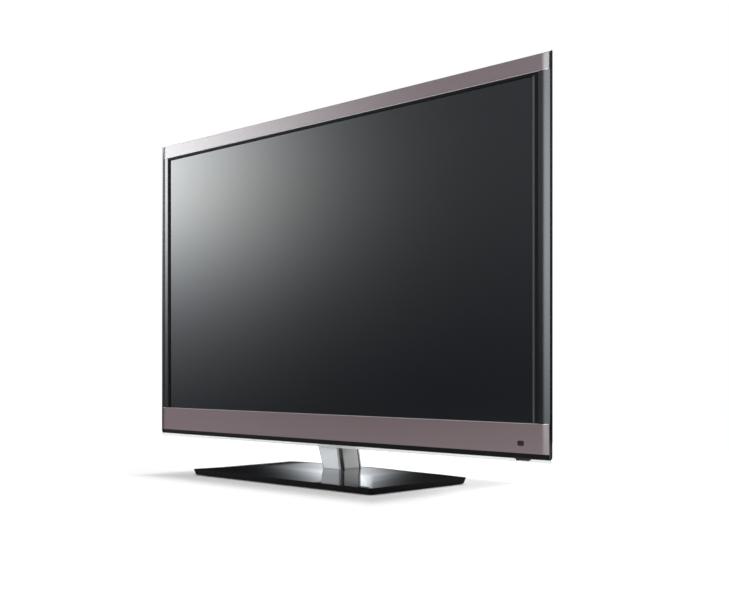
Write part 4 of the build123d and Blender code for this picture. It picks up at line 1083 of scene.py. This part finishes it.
class TELEVISION_OT_stage(Operator):
    """Pale floor, soft lights, white surroundings and the camera"""
    bl_idname = "television.stage"
    bl_label = "Stage"

    def execute(self, context):
        scene = context.scene
        scene.view_settings.view_transform = "Standard"
        self.floor()
        self.lamps()
        self.surroundings(scene)
        self.camera(scene)
        return {"FINISHED"}

    def floor(self):
        """A pale disc just under the feet."""
        radius, drop = 1.25, 0.1 * MM
        shell = bmesh.new()
        bmesh.ops.create_circle(shell, cap_ends=True, radius=radius, segments=96)
        bmesh.ops.translate(shell, verts=shell.verts, vec=(0, 0, -drop))
        piece = placed("floor", mesh_of(shell, "floor"))
        piece.data.materials.append(finish("pale_floor"))

    def lamps(self):
        """Four soft lamps, of which glossy pieces mirror two."""
        for name, power, spot, aim, wide, tall, mirrored in (
                ("key_softbox", 50.0, (-3.6, -2.1, 0.8), (-0.3, 0.0, 0.4), 1.0, 1.0, False),
                ("front_softbox", 44.0, (-0.6, -3.4, 0.5), (0.0, 0.0, 0.3), 1.4, 0.9, False),
                ("top_softbox", 60.0, (0.3, 0.4, 3.0), (0.0, 0.0, 0.2), 2.4, 2.4, True),
                ("rear_softbox", 70.0, (1.6, 3.2, 1.8), (0.0, 0.0, 0.4), 1.8, 1.8, True)):
            lamp = bpy.data.lights.new(name, "AREA")
            lamp.shape, lamp.size, lamp.size_y, lamp.energy = "RECTANGLE", wide, tall, power
            piece = placed(name, lamp)
            piece.location, piece.visible_glossy = spot, mirrored
            piece.rotation_euler = (Vector(aim) - Vector(spot)).to_track_quat("-Z", "Y").to_euler()

    def surroundings(self, scene):
        """White to the camera; glossy pieces mirror soft lights painted by their direction."""
        world = bpy.data.worlds.new("studio")
        world.use_nodes = True
        scene.world = world
        g = Graph(world.node_tree)
        way = g.node("TexCoord", output="Generated")
        right, away, up = (g.part(way, axis) for axis in "XYZ")
        turn = (right * -1.0).maths("ARCTAN2", away * -1.0) * math.degrees(1.0)
        rise = up.maths("ARCSINE") * math.degrees(1.0)

        def glow(azimuth, elevation, wide, high):
            """A bell-shaped light at these degrees; azimuth 0 is -Y and 90 is -X."""
            across, along = (turn - azimuth) * (1 / wide), (rise - elevation) * (1 / high)
            return (across * across * -0.5 - along * along * 0.5).maths("EXPONENT")

        ahead = g.spread(away, 0.1, -0.25)
        front = 0.08 + 0.57 * g.spread(rise, -5.0, 14.0)
        rear = 0.012 + 0.5 * g.spread(rise, 10.0, 32.0)
        window = g.spread(turn, 28.0, 24.0) * g.spread(turn, -16.0, -8.0) * g.spread(rise, 34.0, 10.0)
        # Lights, named for what mirrors them
        picture = 17.3 * glow(60.0, 10.9, 6.1, 3.9) * g.spread(turn, 67.0, 58.0)
        picture_low = 0.33 * glow(56.0, 0.0, 5.0, 2.5)
        neck_side = 1.8 * glow(-135.0, -4.0, 25.0, 20.0)
        rolled_ends = 7.1 * window * g.spread(rise, -11.0, 8.0)
        left_lip = 2.6 * glow(134.2, 9.8, 1.6, 3.9)
        studio = (ahead * front + (1.0 - ahead) * rear + picture + picture_low + neck_side + rolled_ends
                  + left_lip)
        # A little blue, but for the brightest patch in the picture
        hue = g.blend(glow(51.0, 9.3, 7.0, 2.6), (0.95, 1.0, 1.05), (0.975, 1.0, 0.975))
        ambient = g.light("Background", (1.0, 1.0, 1.0), 0.45)
        shine = g.light("Background", hue, studio)
        white = g.light("Background", (1.0, 1.0, 1.0), 1.0)
        lit = g.mixed(g.rays("Is Glossy Ray"), ambient, shine)
        g.out(g.mixed(g.rays("Is Camera Ray", "Is Transmission Ray"), lit, white), "OutputWorld")

    def camera(self, scene):
        """The photo's camera, solved from the straight edges of the picture."""
        data = bpy.data.cameras.new("camera")
        data.sensor_fit, data.sensor_width, data.lens = "HORIZONTAL", 36.0, 52.494
        data.shift_y = 0.0936
        data.clip_end = 60.0
        camera = placed("camera", data)
        camera.location = (1.5767, -1.5015, 0.2266)
        camera.rotation_euler = (math.radians(90.0), 0.0, math.radians(44.44))
        scene.camera = camera


OPERATORS = (TELEVISION_OT_stage, TELEVISION_OT_front, TELEVISION_OT_picture, TELEVISION_OT_back,
             TELEVISION_OT_sockets, TELEVISION_OT_keys, TELEVISION_OT_neck, TELEVISION_OT_base,
             TELEVISION_OT_insides)


class TELEVISION_PT_pieces(Panel):
    """Pieces, sizes and colours of the television"""
    bl_idname = "TELEVISION_PT_pieces"
    bl_label = "Television"
    bl_space_type = "VIEW_3D"
    bl_region_type = "UI"
    bl_category = "Television"

    def draw(self, context):
        """Every size and colour, and a button for each operator."""
        for group in (sizes(), colours()):
            box = self.layout.box()
            for name in group.bl_rna.properties.keys():
                if name not in ("rna_type", "name"):
                    box.prop(group, name)
        for operator in OPERATORS:
            self.layout.operator(operator.bl_idname)


CLASSES = (TelevisionSizes, TelevisionColours, *OPERATORS, TELEVISION_PT_pieces)


def register():
    """Adds the classes and their properties."""
    for made in CLASSES:
        bpy.utils.register_class(made)
    bpy.types.Scene.television_sizes = PointerProperty(type=TelevisionSizes)
    bpy.types.Scene.television_colours = PointerProperty(type=TelevisionColours)


def unregister():
    """Takes them away again."""
    del bpy.types.Scene.television_colours
    del bpy.types.Scene.television_sizes
    for made in reversed(CLASSES):
        bpy.utils.unregister_class(made)


def main():
    """Builds the whole set."""
    register()
    for operator in OPERATORS:
        getattr(bpy.ops.television, operator.bl_idname.split(".")[1])()


if __name__ == "__main__":
    main()
